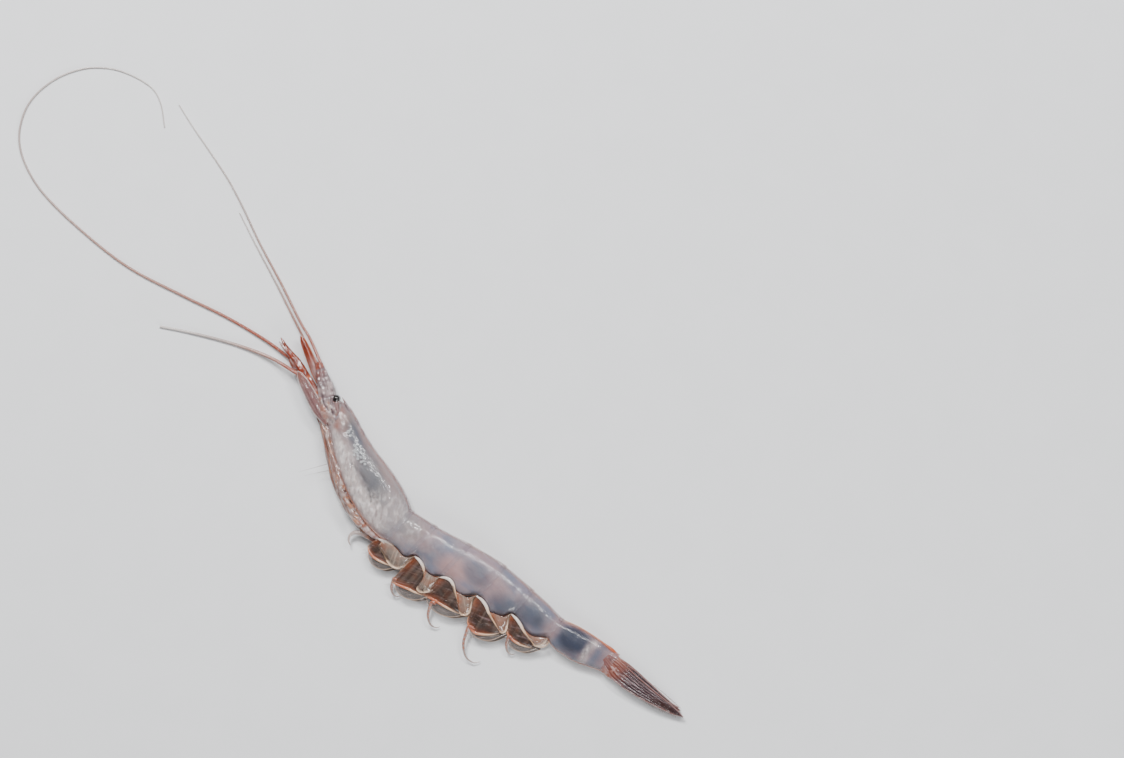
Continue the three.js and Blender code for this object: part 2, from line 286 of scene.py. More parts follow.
def blend_colours(tree, steps, start):
    """Lays colours over one another, each by its own mark or pattern."""
    result = start
    for amount, over in steps:
        mixed = add(tree, "ShaderNodeMix", data_type="RGBA")
        tree.links.new(amount, mixed.inputs["Factor"])
        for socket, value in ((mixed.inputs[6], result), (mixed.inputs[7], over)):
            if isinstance(value, bpy.types.NodeSocket):
                tree.links.new(value, socket)
            else:
                socket.default_value = value
        result = mixed.outputs[2]
    return result


# %% [markdown]
# ### Raw flesh
#
# Raw shrimp muscle is a wet gel, refractive index about 1.36. Light scatters through a millimetre
# or so of it, which makes it milky. Its lilac grey ground is partly its own colour and partly a painted
# milky sheen of a broad light from above. It has faint pink and blue clouds a few millimetres wide, is
# whiter over the gills, and clearer where there is little muscle. Dark creases over its milky parts are
# painted shade.

# %% Sizes and surface of raw flesh
CLOUD_SIZE = 3.2  # mm
# size of the painted shade in the creases of the milky tissue
WISP_SIZE = 1.4  # mm
CREASE_SHADOW_SIZE = 0.7  # mm
CRUMB_SIZE = 0.6  # mm
FIBRE_SIZE = 0.35  # mm, several real fibres drawn as one
FLESH_SURFACE = {
    "IOR": 1.37,
    "Roughness": 0.3,
    "Subsurface Weight": 0.5,
    "Subsurface Radius": (1.0, 0.7, 0.6),
    "Subsurface Scale": 0.9 * MM,
    "Coat Weight": 0.8,
    "Coat Roughness": 0.06,
    "Coat IOR": 1.45,
}


# %% Patterns for every finish
def pattern(tree, size, detail, stretch=(1.0, 1.0, 1.0), seed=0.0, lean=0.0):
    """Soft noise with features of `size` mm, stretched along a line that leans by `lean` degrees."""
    where = add(tree, "ShaderNodeTexCoord").outputs["Object"]
    upright = (0.0, 0.0, math.radians(-lean))
    turned = add(tree, "ShaderNodeMapping", {"Vector": where, "Rotation": upright})
    scale = tuple(1 / (size * MM * s) for s in stretch)
    mapped = add(tree, "ShaderNodeMapping", {
        "Vector": turned.outputs[0], "Scale": scale, "Location": (seed, seed, seed),
    })
    settings = {"Vector": mapped.outputs[0], "Scale": 1.0, "Detail": detail}
    return add(tree, "ShaderNodeTexNoise", settings).outputs[0]


def contrast(tree, source, low, high, most=1.0):
    """Spreads the part of a pattern between low and high over 0 to `most`."""
    return add(tree, "ShaderNodeMapRange", {
        "Value": source, "From Min": low, "From Max": high, "To Max": most,
    }, interpolation_type="SMOOTHSTEP").outputs[0]


def times(tree, one, other):
    """The product of two patterns, marks or sizes."""
    return add(tree, "ShaderNodeMath", {0: one, 1: other}, operation="MULTIPLY").outputs[0]


def read_mark(tree, name):
    """A mark as a value from 0 to 1."""
    return add(tree, "ShaderNodeAttribute", attribute_name=name).outputs["Fac"]


def wet_bumps(tree, shader, coarse, fine, coarse_depth, fine_depth):
    """Two sizes of unevenness in mm, one on the other, that break the wet highlights up."""
    slow = pattern(tree, coarse, 2.0, (1.4, 0.8, 1.0), seed=21.0)
    quick = pattern(tree, fine, 3.0, (1.6, 0.8, 1.0), seed=5.0)
    first = add(tree, "ShaderNodeBump", {"Height": slow, "Strength": 1.0, "Distance": coarse_depth * MM})
    second = add(tree, "ShaderNodeBump", {
        "Height": quick, "Strength": 1.0, "Distance": fine_depth * MM, "Normal": first.outputs[0],
    })
    tree.links.new(second.outputs[0], shader.inputs["Normal"])
    tree.links.new(second.outputs[0], shader.inputs["Coat Normal"])


# %% Raw flesh material
def raw_flesh():
    material, tree, shader = new_finish("raw_flesh", FLESH_SURFACE)
    clouds = pattern(tree, CLOUD_SIZE, 2.0, (1.2, 1.0, 1.0))
    wisps = pattern(tree, WISP_SIZE, 3.0, (1.6, 0.8, 1.0), seed=7.0)
    fibres = pattern(tree, FIBRE_SIZE, 3.0, (4.0, 1.0, 1.0), seed=3.0)
    crumbs = pattern(tree, CRUMB_SIZE, 5.0, (1.3, 0.9, 1.0), seed=13.0, lean=-50)
    # painted shade: a pattern for the dark creases laid over the milky parts
    crease_shadows = pattern(tree, CREASE_SHADOW_SIZE, 4.0, (2.0, 0.6, 1.0), seed=17.0, lean=-55)
    milk = read_mark(tree, "milk")
    steps = [
        (contrast(tree, clouds, 0.42, 0.58, 0.8), colour("#9C878C")),
        (contrast(tree, wisps, 0.46, 0.62, 0.5), colour("#66728A")),
        (contrast(tree, fibres, 0.52, 0.8, 0.25), colour("#A9A3AC")),
        (read_mark(tree, "pink"), colour("#BC948F")),
        (read_mark(tree, "warm"), colour("#8F8079")),
        (milk, colour("#C8BCB8")),
        (read_mark(tree, "olive"), colour("#62655C")),
        (read_mark(tree, "clear"), colour("#3F4954")),
        (read_mark(tree, "deep"), colour("#0F2036")),
        (times(tree, milk, contrast(tree, crumbs, 0.42, 0.72)), colour("#F0E7E3")),
        # painted shade in the creases of the crumpled milky tissue
        (times(tree, milk, contrast(tree, crease_shadows, 0.5, 0.66, 0.6)), colour("#8E7B77")),
        (read_mark(tree, "rust"), colour("#8F4E33")),
        # orange along the back: partly the shell's own pigment and partly a painted glow of the back-lit rim
        (read_mark(tree, "rim"), colour("#B5603B")),
        (read_mark(tree, "groove"), colour("#37322F")),
    ]
    # the lilac grey ground is partly the flesh's own colour and partly a painted milky sheen of a broad light
    # from above
    tree.links.new(blend_colours(tree, steps, colour("#85848F")), shader.inputs["Base Color"])
    wet_bumps(tree, shader, 1.3, 0.25, 0.1, 0.02)
    return material


# %% [markdown]
# ### Clear shell and films
#
# The shell is chitin, index about 1.55, too thin to have a colour of its own except where it is
# doubled over: its edges look cream to orange red. The alpha is low in the middle of a plate and
# high along its edges, so what lies below shows through.

# %% Clear shell and film materials
CHITIN_IOR = 1.55
MOTTLE_SIZE = 0.9  # mm
STREAK_SIZE = 0.24  # mm across, as coarse as the streaks need to be to show


def clear_chitin(name, middle, edge, alpha_middle, alpha_edge, roughness=0.16, tint=None, streaks=None,
                 mottled=0.16):
    """A thin film. `edge` colours its doubled edges, `tint` its extra marks, and `streaks` is the lean,
    in degrees, of fine lengthwise streaks. `mottled` is how strongly milky patches cloud it."""
    surface = {"IOR": CHITIN_IOR, "Roughness": roughness, "Coat Weight": 0.85, "Coat Roughness": 0.05}
    material, tree, shader = new_finish(name, surface)
    mottle = pattern(tree, MOTTLE_SIZE, 3.0, (2.0, 0.7, 1.0), seed=11.0)
    steps = [(contrast(tree, mottle, 0.45, 0.75, mottled), colour("#D8CCC6"))]
    steps += [(read_mark(tree, mark_name), colour(code)) for mark_name, code in (tint or {}).items()]
    if streaks is not None:
        pale = pattern(tree, STREAK_SIZE, 3.0, (14.0, 1.0, 1.0), seed=2.0, lean=streaks)
        dark = pattern(tree, 0.22, 2.0, (10.0, 1.0, 1.0), seed=9.0, lean=streaks)
        steps.append((contrast(tree, dark, 0.5, 0.72, 0.6), colour("#34201F")))
        steps.append((contrast(tree, pale, 0.56, 0.72, 0.6), colour("#A88E90")))
    steps.append((read_mark(tree, "edge"), colour(edge)))
    tree.links.new(blend_colours(tree, steps, colour(middle)), shader.inputs["Base Color"])
    thicker = add(tree, "ShaderNodeMapRange", {
        "Value": read_mark(tree, "solid"), "To Min": alpha_middle, "To Max": alpha_edge,
    })
    tree.links.new(thicker.outputs[0], shader.inputs["Alpha"])
    wet_bumps(tree, shader, 0.9, 0.22, 0.07, 0.018)
    return material


# %% The first finishes
FLESH = raw_flesh()
SHELL = clear_chitin("clear_shell", "#8E8A98", "#C58263", 0.07, 0.8, 0.12, {"rust": "#B5532F"})
FILM = clear_chitin("swimming_leg_film", "#6F6866", "#CFAF98", 0.45, 0.9, 0.16, {"rust": "#C25A2E"})
FAN = clear_chitin("tail_fan_film", "#2F2025", "#9A6C64", 0.92, 0.96, 0.2,
                   {"ridge": "#846A6E", "root": "#874C3F", "rust": "#30100B"}, 9, 0.03)
SCALE = clear_chitin("antennal_scale_film", "#85605F", "#D9CDC9", 0.7, 0.95, 0.18, {"rust": "#8F4A32"}, -25)
LEG = clear_chitin("leg_film", "#8C736D", "#B07B60", 0.75, 0.92, 0.18,
                   {"rust": "#8A452B", "pale": "#D2C2BC"})
print("finishes:", [m.name for m in bpy.data.materials])

# %% [markdown]
# ## The body's outline
#
# Seen from its flank, the body is one long shape: the head and carapace slope down to a notch
# where they meet the tail, and six segments rise from there to the fan. The belly edge is a row of
# scallops, one for each segment. The flank below is flattened by the shrimp's own weight.

# %% Outline, sections and segment joints
HEAD_FRONT = -3.0
NECK = 13.9
TAIL_ROOT = 45.8
JOINTS = [17.4, 22.2, 27.3, 32.0, 37.2]
MID_HEIGHT = 0.46  # share of the thickness at which the body is widest: the lower flank is flatter

back_line = smooth_through([
    [-3.2, -1.0], [-2.2, -0.42], [-0.9, -0.17], [0.4, -0.45], [2.9, -1.29], [5.7, -1.96], [8.1, -2.34],
    [10.8, -2.98], [12.8, -3.76], [NECK, -4.36], [14.7, -4.22], [16.6, -3.9], [19.4, -3.26],
    [22.2, -2.46], [25.0, -1.78], [27.6, -1.38], [31.9, -1.22], [34.9, -1.18], [37.3, -1.33],
    [39.6, -0.6], [42.6, -0.06], [TAIL_ROOT, 0.22],
])
belly_line = smooth_through([
    [-3.2, -3.0], [-1.2, -4.25], [2.7, -6.75], [6.4, -8.65], [9.2, -9.5], [12.0, -9.85], [NECK, -9.69],
    [15.7, -9.26], [17.2, -9.35], [18.1, -8.4], [18.9, -8.3], [20.2, -8.8], [21.2, -8.8],
    [22.3, -8.1], [23.5, -7.5], [24.2, -7.65], [25.0, -8.1], [25.9, -7.95], [27.2, -6.75],
    [28.1, -6.55], [29.1, -6.75],
    [30.0, -7.05], [30.8, -6.75], [31.5, -6.35], [32.1, -5.4], [33.0, -5.3], [34.0, -5.5], [34.9, -5.75],
    [35.8, -5.7], [36.6, -5.2], [37.5, -4.5], [38.4, -4.75], [39.4, -4.8], [40.4, -4.65], [41.6, -4.45],
    [42.8, -4.0], [44.2, -3.35], [TAIL_ROOT, -2.6],
])
thickness = smooth_through([
    [-3.2, 2.0], [-1.0, 2.9], [2.7, 3.8], [6.4, 4.35], [10.0, 4.5], [NECK, 4.0], [18.0, 3.6],
    [25.0, 3.35], [32.0, 3.1], [37.2, 2.8], [41.0, 2.55], [TAIL_ROOT, 1.8],
])


def body_at(x, turn, proud=0.0, floor=0.0):
    """Points on the body. `turn` goes from 0 at the back over the upper flank to pi at the belly."""
    x, turn = np.broadcast_arrays(np.asarray(x, float), np.asarray(turn, float))
    top = back_line(x)
    bottom = belly_line(x)
    across = thickness(x)
    y = (top + bottom) / 2 + ((top - bottom) / 2 + proud) * np.cos(turn)
    round_side = np.sign(np.sin(turn)) * np.abs(np.sin(turn)) ** 0.9
    z = MID_HEIGHT * across + (across / 2 + proud) * round_side
    return np.stack([x, y, np.maximum(z, floor)], -1)


print("carapace depth, mm:", round(float(back_line(9.2) - belly_line(9.2)), 2))

# %% [markdown]
# ## The flesh
#
# Under the shell the muscle is a continuous soft mass, a little drawn in at every joint and lumpy
# over the gills. A dense skin of hoops is laid on the outline, inset by the shell's clearance, and
# each point is moved in or out by given waves and a soft noise, as a sculptor would press it.

# %% Flesh under the shell
SHELL_GAP = 0.12  # mm
JOINT_PINCH, PINCH_WIDTH = 0.1, 0.55  # mm
GROOVE_DEPTH, GROOVE_WIDTH, GROOVE_LINE = 0.16, 0.16, 0.09  # mm
GROOVE = [(4.0, -5.1), (5.6, -5.25), (6.9, -5.56), (8.3, -6.15), (9.4, -6.9)]


def distance_to_path(points, path):
    """Distance in x and y from each point to a given line, for marks that follow a line."""
    line = path_through([(x, y, 0) for x, y in path], 60)[:, :2]
    return np.min(np.linalg.norm(points[:, None, :2] - line[None], axis=2), axis=1)


def noise_at(points, size, seed=0.0):
    """Soft noise from -1 to 1 with features of `size` mm."""
    return np.array([noise.noise(Vector((p / size).tolist()) + Vector((seed, seed, seed))) for p in points])


def body_flesh():
    stations = np.linspace(HEAD_FRONT + 0.3, TAIL_ROOT - 0.2, 300)
    turns = np.linspace(0, 2 * math.pi, 73)[:-1]
    grid = body_at(stations[:, None], turns[None, :], -SHELL_GAP, SHELL_GAP)
    flat = grid.reshape(-1, 3)
    middle = np.repeat(grid.mean(1), len(turns), 0)
    outward = flat - middle
    outward /= np.linalg.norm(outward, axis=1)[:, None]
    pinch = sum(np.exp(-(((flat[:, 0] - joint) / PINCH_WIDTH) ** 2)) for joint in [NECK] + JOINTS)
    gills = spot(flat, (7.6, -7.6), (7.5, 2.6), -20)
    lumps = noise_at(flat, 1.1) * (0.06 + 0.12 * gills) + noise_at(flat, 0.5, 5.0) * (0.02 + 0.06 * gills)
    groove = np.exp(-((distance_to_path(flat, GROOVE) / GROOVE_WIDTH) ** 2)) * (flat[:, 2] > 2)
    moved = flat + outward * (lumps - JOINT_PINCH * pinch - GROOVE_DEPTH * groove)[:, None]
    moved[:, 2] = np.maximum(moved[:, 2], SHELL_GAP)
    piece = hoops("body_flesh", moved.reshape(grid.shape))
    piece.data.materials.append(FLESH)
    return piece


flesh = body_flesh()
print("flesh faces:", len(flesh.data.polygons))

# %% [markdown]
# ### Where the flesh changes colour
#
# The stomach and the sixth segment hold little muscle, so they are clear and look blue grey. The
# gills and the muscle over them are milk white with rusty leg bases showing along the lower edge.

# %% Marks on the flesh
CLEAR_SPOTS = [  # middle, radii and lean of each place, and how strong its colour is
    ((2.2, -2.3), (2.8, 1.4), -22, 0.7), ((6.2, -4.3), (4.4, 1.9), -28, 0.4),
    ((9.4, -5.3), (3.8, 1.8), -26, 0.2), ((19.8, -6.4), (2.9, 1.9), 0, 0.32),
    ((25.6, -4.6), (3.2, 2.0), 0, 0.42), ((30.4, -5.2), (2.9, 2.0), 0, 0.5),
    ((33.6, -3.6), (3.4, 2.4), 0, 0.6), ((35.9, -3.2), (2.0, 2.2), 0, 0.35),
]
DEEP_SPOTS = [
    ((40.1, -2.3), (3.4, 2.9), 8, 1.0), ((30.4, -5.4), (2.0, 1.4), 0, 0.3),
    ((25.6, -4.8), (2.2, 1.5), 0, 0.2), ((34.4, -3.8), (2.6, 1.8), 0, 0.35),
    ((43.9, -1.5), (1.5, 2.2), 4, 0.4), ((29.4, -3.4), (2.6, 1.6), 0, 0.2),
]
PINK_SPOTS = [
    ((16.8, -5.9), (3.2, 2.0), 0, 0.45), ((22.6, -6.2), (3.0, 2.2), 0, 0.85),
    ((28.4, -4.4), (2.7, 2.4), 0, 0.6), ((24.0, -2.8), (4.6, 1.1), 14, 0.4),
    ((37.3, -3.0), (1.5, 2.8), 0, 0.55), ((-0.4, -1.9), (2.6, 1.6), -15, 0.8),
    ((42.4, -2.2), (1.2, 2.8), 10, 0.5), ((9.0, -3.4), (4.0, 0.8), -22, 0.4),
    ((44.8, -1.2), (1.2, 2.4), 0, 0.45),
]
MILK_SPOTS = [
    ((5.0, -6.9), (6.5, 2.3), -34, 1.0), ((9.4, -8.0), (5.2, 2.4), -10, 1.0),
    ((-1.2, -3.1), (2.2, 1.0), -28, 0.3), ((11.8, -5.6), (3.6, 2.2), 0, 0.4),
    ((1.5, -4.7), (2.6, 0.8), -35, 0.6), ((14.6, -6.6), (3.2, 2.6), 0, 0.2),
    ((17.5, -5.6), (4.0, 2.6), 0, 0.1),
]
OLIVE_SPOTS = [
    ((7.8, -4.9), (4.6, 2.0), -28, 0.5), ((0.6, -1.9), (2.2, 1.2), -25, 0.5),
    ((15.5, -6.0), (3.0, 2.2), 0, 0.3),
]
RUST_SPOTS = [
    ((-0.8, -2.2), (2.8, 1.6), -28, 0.85), ((1.6, -3.6), (1.8, 0.8), -32, 0.3),
    ((3.6, -1.9), (2.6, 0.6), -22, 0.3),
]
MILK_LINE = [(42.9, -4.0), (42.5, -2.8), (42.3, -1.4), (42.6, -0.2)]
VEIL_WIDTH = 0.4  # mm


def spots(points, places):
    """Several soft oval spots laid over one another."""
    return np.clip(sum(most * spot(points, at, radii, lean) for at, radii, lean, most in places), 0, 1)


def mark_flesh(piece):
    p = animal_points(piece)
    from_back = back_line(p[:, 0]) - p[:, 1]
    from_belly = p[:, 1] - belly_line(p[:, 0])
    carapace = 1 - soft_step(p[:, 0], NECK - 0.5, NECK + 1.5)
    mark(piece, "clear", spots(p, CLEAR_SPOTS) * soft_step(from_back, 0.2, 0.9))
    mark(piece, "deep", spots(p, DEEP_SPOTS))
    mark(piece, "pink", spots(p, PINK_SPOTS))
    mark(piece, "warm", 0.6 * (1 - soft_step(p[:, 0], NECK - 3, NECK + 6)))
    veil = 0.75 * np.exp(-((distance_to_path(p, MILK_LINE) / VEIL_WIDTH) ** 2))
    mark(piece, "milk", spots(p, MILK_SPOTS) + veil)
    mark(piece, "olive", spots(p, OLIVE_SPOTS))
    # The orange line along the back is partly pigment and partly a painted glow of the back-lit rim, made
    # stronger towards the tail and over the carapace.
    orange_and_glow_strength = 0.55 + 0.45 * soft_step(p[:, 0], 26, 34) + 0.45 * carapace
    mark(piece, "rim", 0.85 * (1 - soft_step(from_back, 0.05, 0.42)) * orange_and_glow_strength)
    rusty = 0.55 * carapace * (1 - soft_step(from_belly, 0.3, 1.15)) * soft_step(p[:, 0], -3, 1)
    mottled = 0.6 + 0.7 * noise_at(p, 0.9, 31.0)
    mark(piece, "rust", rusty + spots(p, RUST_SPOTS) * mottled)
    groove = np.exp(-((distance_to_path(p, GROOVE) / GROOVE_LINE) ** 2))
    mark(piece, "groove", 0.75 * groove * (p[:, 2] > 2))


mark_flesh(flesh)

# %% [markdown]
# ## The shell in plates
#
# A shrimp's armour is a carapace and six rings, each tucked under the one in front. Every plate is
# a thin sheet bent round the body and open at the belly, with its rear rim standing a little proud
# and its lower corners rounded. They are alike but for their sizes, so one function makes them.

# %% Shell plates
SHELL_THICK = 0.07  # mm
OVERLAP_RISE = 0.11  # mm that a plate's rear rim stands over its front
ORANGE_BACK = {"tergite_3": 0.65, "tergite_4": 0.8, "tergite_5": 1.0, "tergite_6": 1.1}
PLATES = [  # name, front edge, rear edge, how far round towards the belly in degrees
    ("carapace", -3.0, 14.35, 152),
    ("tergite_1", 13.6, 17.75, 171),
    ("tergite_2", 17.1, 22.55, 172),
    ("tergite_3", 21.9, 27.65, 172),
    ("tergite_4", 27.0, 32.3, 172),
    ("tergite_5", 31.7, 37.5, 172),
    ("tergite_6", 36.9, TAIL_ROOT, 172),
]


def shell_plate(name, front, rear, reach):
    rows = max(24, int((rear - front) / 0.16))
    along = np.linspace(0, 1, rows)[:, None]
    turn = np.radians(np.linspace(-reach, reach, 89))[None, :]
    corner = 0.55 * (np.abs(turn) / math.radians(reach)) ** 10
    if name == "carapace":
        orbit = 0.75 * np.exp(-(((np.abs(turn) - 0.55) / 0.35) ** 2))
        orbit += 0.9 * (np.abs(turn) / math.radians(reach)) ** 4
        x = front + orbit + along * (rear - corner - front - orbit)
    else:
        x = front + corner + along * (rear - front - 2 * corner)
    rise = 0.02 + OVERLAP_RISE * along**3
    outer = body_at(x, turn, rise)
    inner = body_at(x, turn, rise - SHELL_THICK, floor=SHELL_THICK)
    piece = sheet_of(name, outer, inner)
    piece.data.materials.append(SHELL)
    shape = (rows, turn.shape[1])
    to_rear = np.broadcast_to((1 - along) * (rear - front), shape)
    half_depth = (back_line(x) - belly_line(x)) / 2
    to_lower = np.broadcast_to((math.radians(reach) - np.abs(turn)), shape) * half_depth
    to_back = np.abs(np.broadcast_to(turn, shape)) * half_depth * 0.5
    lower = np.exp(-((to_lower / 0.36) ** 2))
    rim = np.exp(-((to_rear / 0.12) ** 2)) * 0.15
    ridge = 0.85 * np.exp(-((to_back / 0.42) ** 2))
    worn = 0.6 + 0.4 * noise_at(outer.reshape(-1, 3), 2.2, 9.0).reshape(shape)
    orange = worn * np.exp(-((to_back / 0.46) ** 2)) * ORANGE_BACK.get(name, 0.5)
    mark(piece, "edge", both_faces(lower + rim + ridge * worn, shape))
    mark(piece, "solid", both_faces(0.9 * lower + rim + 0.7 * ridge, shape))
    mark(piece, "rust", both_faces(orange, shape))
    return piece


plates = [shell_plate(*plate) for plate in PLATES]
print("shell plates:", len(plates))

# %% [markdown]
# ## Leaves: one maker for every thin blade
#
# The tail fan, the swimming legs and the antennal scales are all leaves: a thin film on a path,
# widest somewhere along it, thicker at its edge, often with ribs. One maker takes the path, the
# width along it, the ribs and the cup of the blade, and marks its edge and how far along it is.

# %% The leaf maker
EDGE_BEAD = 0.5  # how much thicker a blade is at its edge


def path_frame(path, rows):
    """A path's points, and the level direction across it at each of them."""
    line = path_through(path, rows)
    ahead = np.gradient(line, axis=0)
    across = np.stack([-ahead[:, 1], ahead[:, 0], np.zeros(rows)], 1)
    across /= np.linalg.norm(across, axis=1)[:, None]
    return line, ahead / np.linalg.norm(ahead, axis=1)[:, None], across


def leaf(name, path, width, thick=0.12, cup=0.0, ribs=0, rib_height=0.0, edge_width=0.18, rows=56, columns=25,
         ripple=0.0, seed=0.0):
    """A closed blade. `width` is given by [share of length, width in mm] keys."""
    line, _, across = path_frame(path, rows)
    t = np.linspace(0, 1, rows)[:, None]
    s = np.sin(np.linspace(-math.pi / 2, math.pi / 2, columns))[None, :]
    wide = smooth_through(width)(t)
    length = np.sum(np.linalg.norm(np.diff(line, axis=0), axis=1))
    middle = line[:, None, :] + across[:, None, :] * (wide * s / 2)[:, :, None]
    ridge = 0.5 + 0.5 * np.cos(s * math.pi * ribs) if ribs else np.zeros_like(s)
    fade = np.sin(np.clip(t, 0.02, 0.98) * math.pi) ** 0.5
    lift = cup * (1 - s**2) + rib_height * ridge * fade
    if ripple:
        lift = lift + ripple * noise_at(middle.reshape(-1, 3), 0.9, seed).reshape(rows, columns)
    to_side = (1 - np.abs(s)) * wide / 2
    to_tip = np.broadcast_to((1 - t) * length, (rows, columns))
    edge = np.exp(-((np.minimum(to_side, to_tip * 0.8) / edge_width) ** 2))
    half = thick / 2 * (0.35 + 0.65 * np.sqrt(np.clip(1 - s**2, 0, 1))) * (1 + EDGE_BEAD * edge)
    top, bottom = middle.copy(), middle.copy()
    top[:, :, 2] = np.maximum(top[:, :, 2] + (lift + half), 0.04)
    bottom[:, :, 2] = np.maximum(bottom[:, :, 2] + (lift - half), 0.0)
    piece = sheet_of(name, top, bottom)
    for label, values in (("edge", edge), ("solid", edge), ("along", t), ("ridge", 0.75 * fade * ridge**3)):
        mark(piece, label, both_faces(values, (rows, columns)))
    return piece


# %% [markdown]
# ## Limbs: one maker for every leg and stalk
#
# Legs, stalks and claws are jointed tubes. The maker sweeps an oval section along a path and
# swells it a little before each joint and nips it in at the joint, which is how a shrimp's leg
# reads as segments even where it is thinner than a match.

# %% The limb maker
def hoop_angles(sides):
    """The angles of evenly spaced points round a hoop."""
    return np.linspace(0, 2 * math.pi, sides + 1)[:-1]


def limb(name, path, width, height=None, joints=(), swell=0.12, rows=60, sides=14, finish=None):
    """A closed jointed tube. `width` and `height` are given by [share of length, mm] keys."""
    line, ahead, across = path_frame(path, rows)
    upward = np.cross(ahead, across)
    upward *= np.sign(upward[:, 2:3] + 1e-9)
    t = np.linspace(0, 1, rows)
    wide = smooth_through(width)(t)
    tall = smooth_through(height)(t) if height else wide
    nip = np.ones(rows)
    for joint in joints:
        before = np.exp(-(((t - joint + 0.035) / 0.03) ** 2))
        at = np.exp(-(((t - joint) / 0.015) ** 2))
        nip += swell * before - 1.2 * swell * at
    tip = np.clip(np.minimum(t, 1 - t) / 0.03, 0.02, 1)
    nip *= np.sqrt(tip * (2 - tip))
    angle = hoop_angles(sides)[None, :, None]
    grid = (
        line[:, None, :]
        + across[:, None, :] * (wide * nip / 2)[:, None, None] * np.cos(angle)
        + upward[:, None, :] * (tall * nip / 2)[:, None, None] * np.sin(angle)
    )
    grid[:, :, 2] = np.maximum(grid[:, :, 2], 0.0)
    piece = hoops(name, grid)
    along = np.concatenate([np.repeat(t, sides), [0, 1]])
    at_joint = sum((np.exp(-(((along - joint) / 0.02) ** 2)) for joint in joints), np.zeros(len(along)))
    mark(piece, "along", along)
    mark(piece, "edge", at_joint)
    mark(piece, "solid", 0.5)
    if finish:
        piece.data.materials.append(finish)
    return piece


def joined(name, parts):
    """Joins finished parts into one piece."""
    bpy.ops.object.select_all(action="DESELECT")
    for part in parts:
        part.select_set(True)
    bpy.context.view_layer.objects.active = parts[0]
    bpy.ops.object.join()
    parts[0].name = name
    return parts[0]


# %% [markdown]
# ## Tissue: one maker for every crumpled lump
#
# Where limbs meet the body there is never a clean joint but crumpled, milky tissue. It is an oval
# tube along a short path whose skin is pushed in and out by two sizes of noise, the larger one
# stretched along the path into furrows. It hides where each limb and blade starts.

# %% The tissue maker
def tissue(name, path, wide, tall, rough, seed, rows=110, sides=72):
    """A closed crumpled lump. `wide` and `tall` are [share of length, mm] keys, `rough` is in mm."""
    line = path_through(path, rows)
    ahead = np.gradient(line, axis=0)
    ahead /= np.linalg.norm(ahead, axis=1)[:, None]
    across = np.stack([-ahead[:, 1], ahead[:, 0], np.zeros(rows)], 1)
    t = np.linspace(0, 1, rows)
    angle = hoop_angles(sides)
    half_wide, half_tall = smooth_through(wide)(t) / 2, smooth_through(tall)(t) / 2
    grid = line[:, None, :] + across[:, None, :] * (half_wide[:, None] * np.cos(angle))[:, :, None]
    grid[:, :, 2] += half_tall[:, None] * np.sin(angle)
    flat = grid.reshape(-1, 3)
    outward = flat - np.repeat(line, sides, 0)
    outward /= np.linalg.norm(outward, axis=1)[:, None]
    way = ahead.mean(0)
    furrows = np.stack([flat @ way * 0.35, flat @ np.array([-way[1], way[0], 0]), flat[:, 2]], 1)
    press = noise_at(furrows, 0.42, seed) + 0.6 * noise_at(flat, 0.26, seed + 4)
    flat = flat + outward * (rough * press)[:, None]
    flat[:, 2] = np.maximum(flat[:, 2], 0.06)
    piece = hoops(name, flat.reshape(grid.shape))
    piece.data.materials.append(FLESH)
    return piece


# %% [markdown]
# ## The tail fan
#
# The telson and two uropods on either flank lie folded on one another, so the fan looks like one
# narrow pointed blade with fine ribs running its length. Each is a leaf with its own ribs. The
# film is mauve brown and darkest near its point.

# %% Tail fan blades
FAN_BLADES = [  # name, height, step to the back, tip x, tip y, width, ribs
    ("uropod_outer_upper", 1.42, -0.2, 57.1, 0.02, 2.35, 6),
    ("uropod_inner_upper", 1.12, 0.5, 56.3, 0.38, 1.85, 5),
    ("telson", 0.86, 0.66, 55.9, 0.5, 1.5, 4),
    ("uropod_inner_lower", 0.6, 0.4, 56.2, 0.3, 1.75, 5),
    ("uropod_outer_lower", 0.34, -0.25, 56.9, -0.05, 2.3, 6),
]
FAN_SHAPE = [[0, 0.55], [0.16, 0.98], [0.3, 1.0], [0.5, 0.84], [0.75, 0.56], [0.92, 0.3], [1, 0.05]]


def fan_blade(name, lift, step, tip_x, tip_y, width, ribs):
    path = [
        (TAIL_ROOT - 1.2, -1.15, lift + 0.15), (TAIL_ROOT + 1.6, -1.2 + step, lift),
        (51.0, -0.88 + step, 0.92 * lift), (54.6, -0.32 + 0.6 * step, 0.74 * lift),
        (tip_x, tip_y, 0.48 * lift),
    ]
    keys = [[t, width * share] for t, share in FAN_SHAPE]
    blade = leaf(name, path, keys, thick=0.24, cup=0.16, ribs=ribs, rib_height=0.09, edge_width=0.09,
                 rows=110, columns=91, ripple=0.05, seed=lift)
    p = animal_points(blade)
    mark(blade, "rust", 0.85 * spot(p, (54.2, -0.75), (2.6, 0.75), 14))
    mark(blade, "root", 0.9 - 0.9 * soft_step(p[:, 0] + 0.7 * noise_at(p, 0.5, lift), 46.3, 48.9))
    blade.data.materials.append(FAN)
    return blade


fan = [fan_blade(*blade) for blade in FAN_BLADES]
print("fan blades:", len(fan))


# %% [markdown]
# ### The root of the fan
#
# The blades spring from a crumpled, orange root, which is a lump of tissue with its own marks.

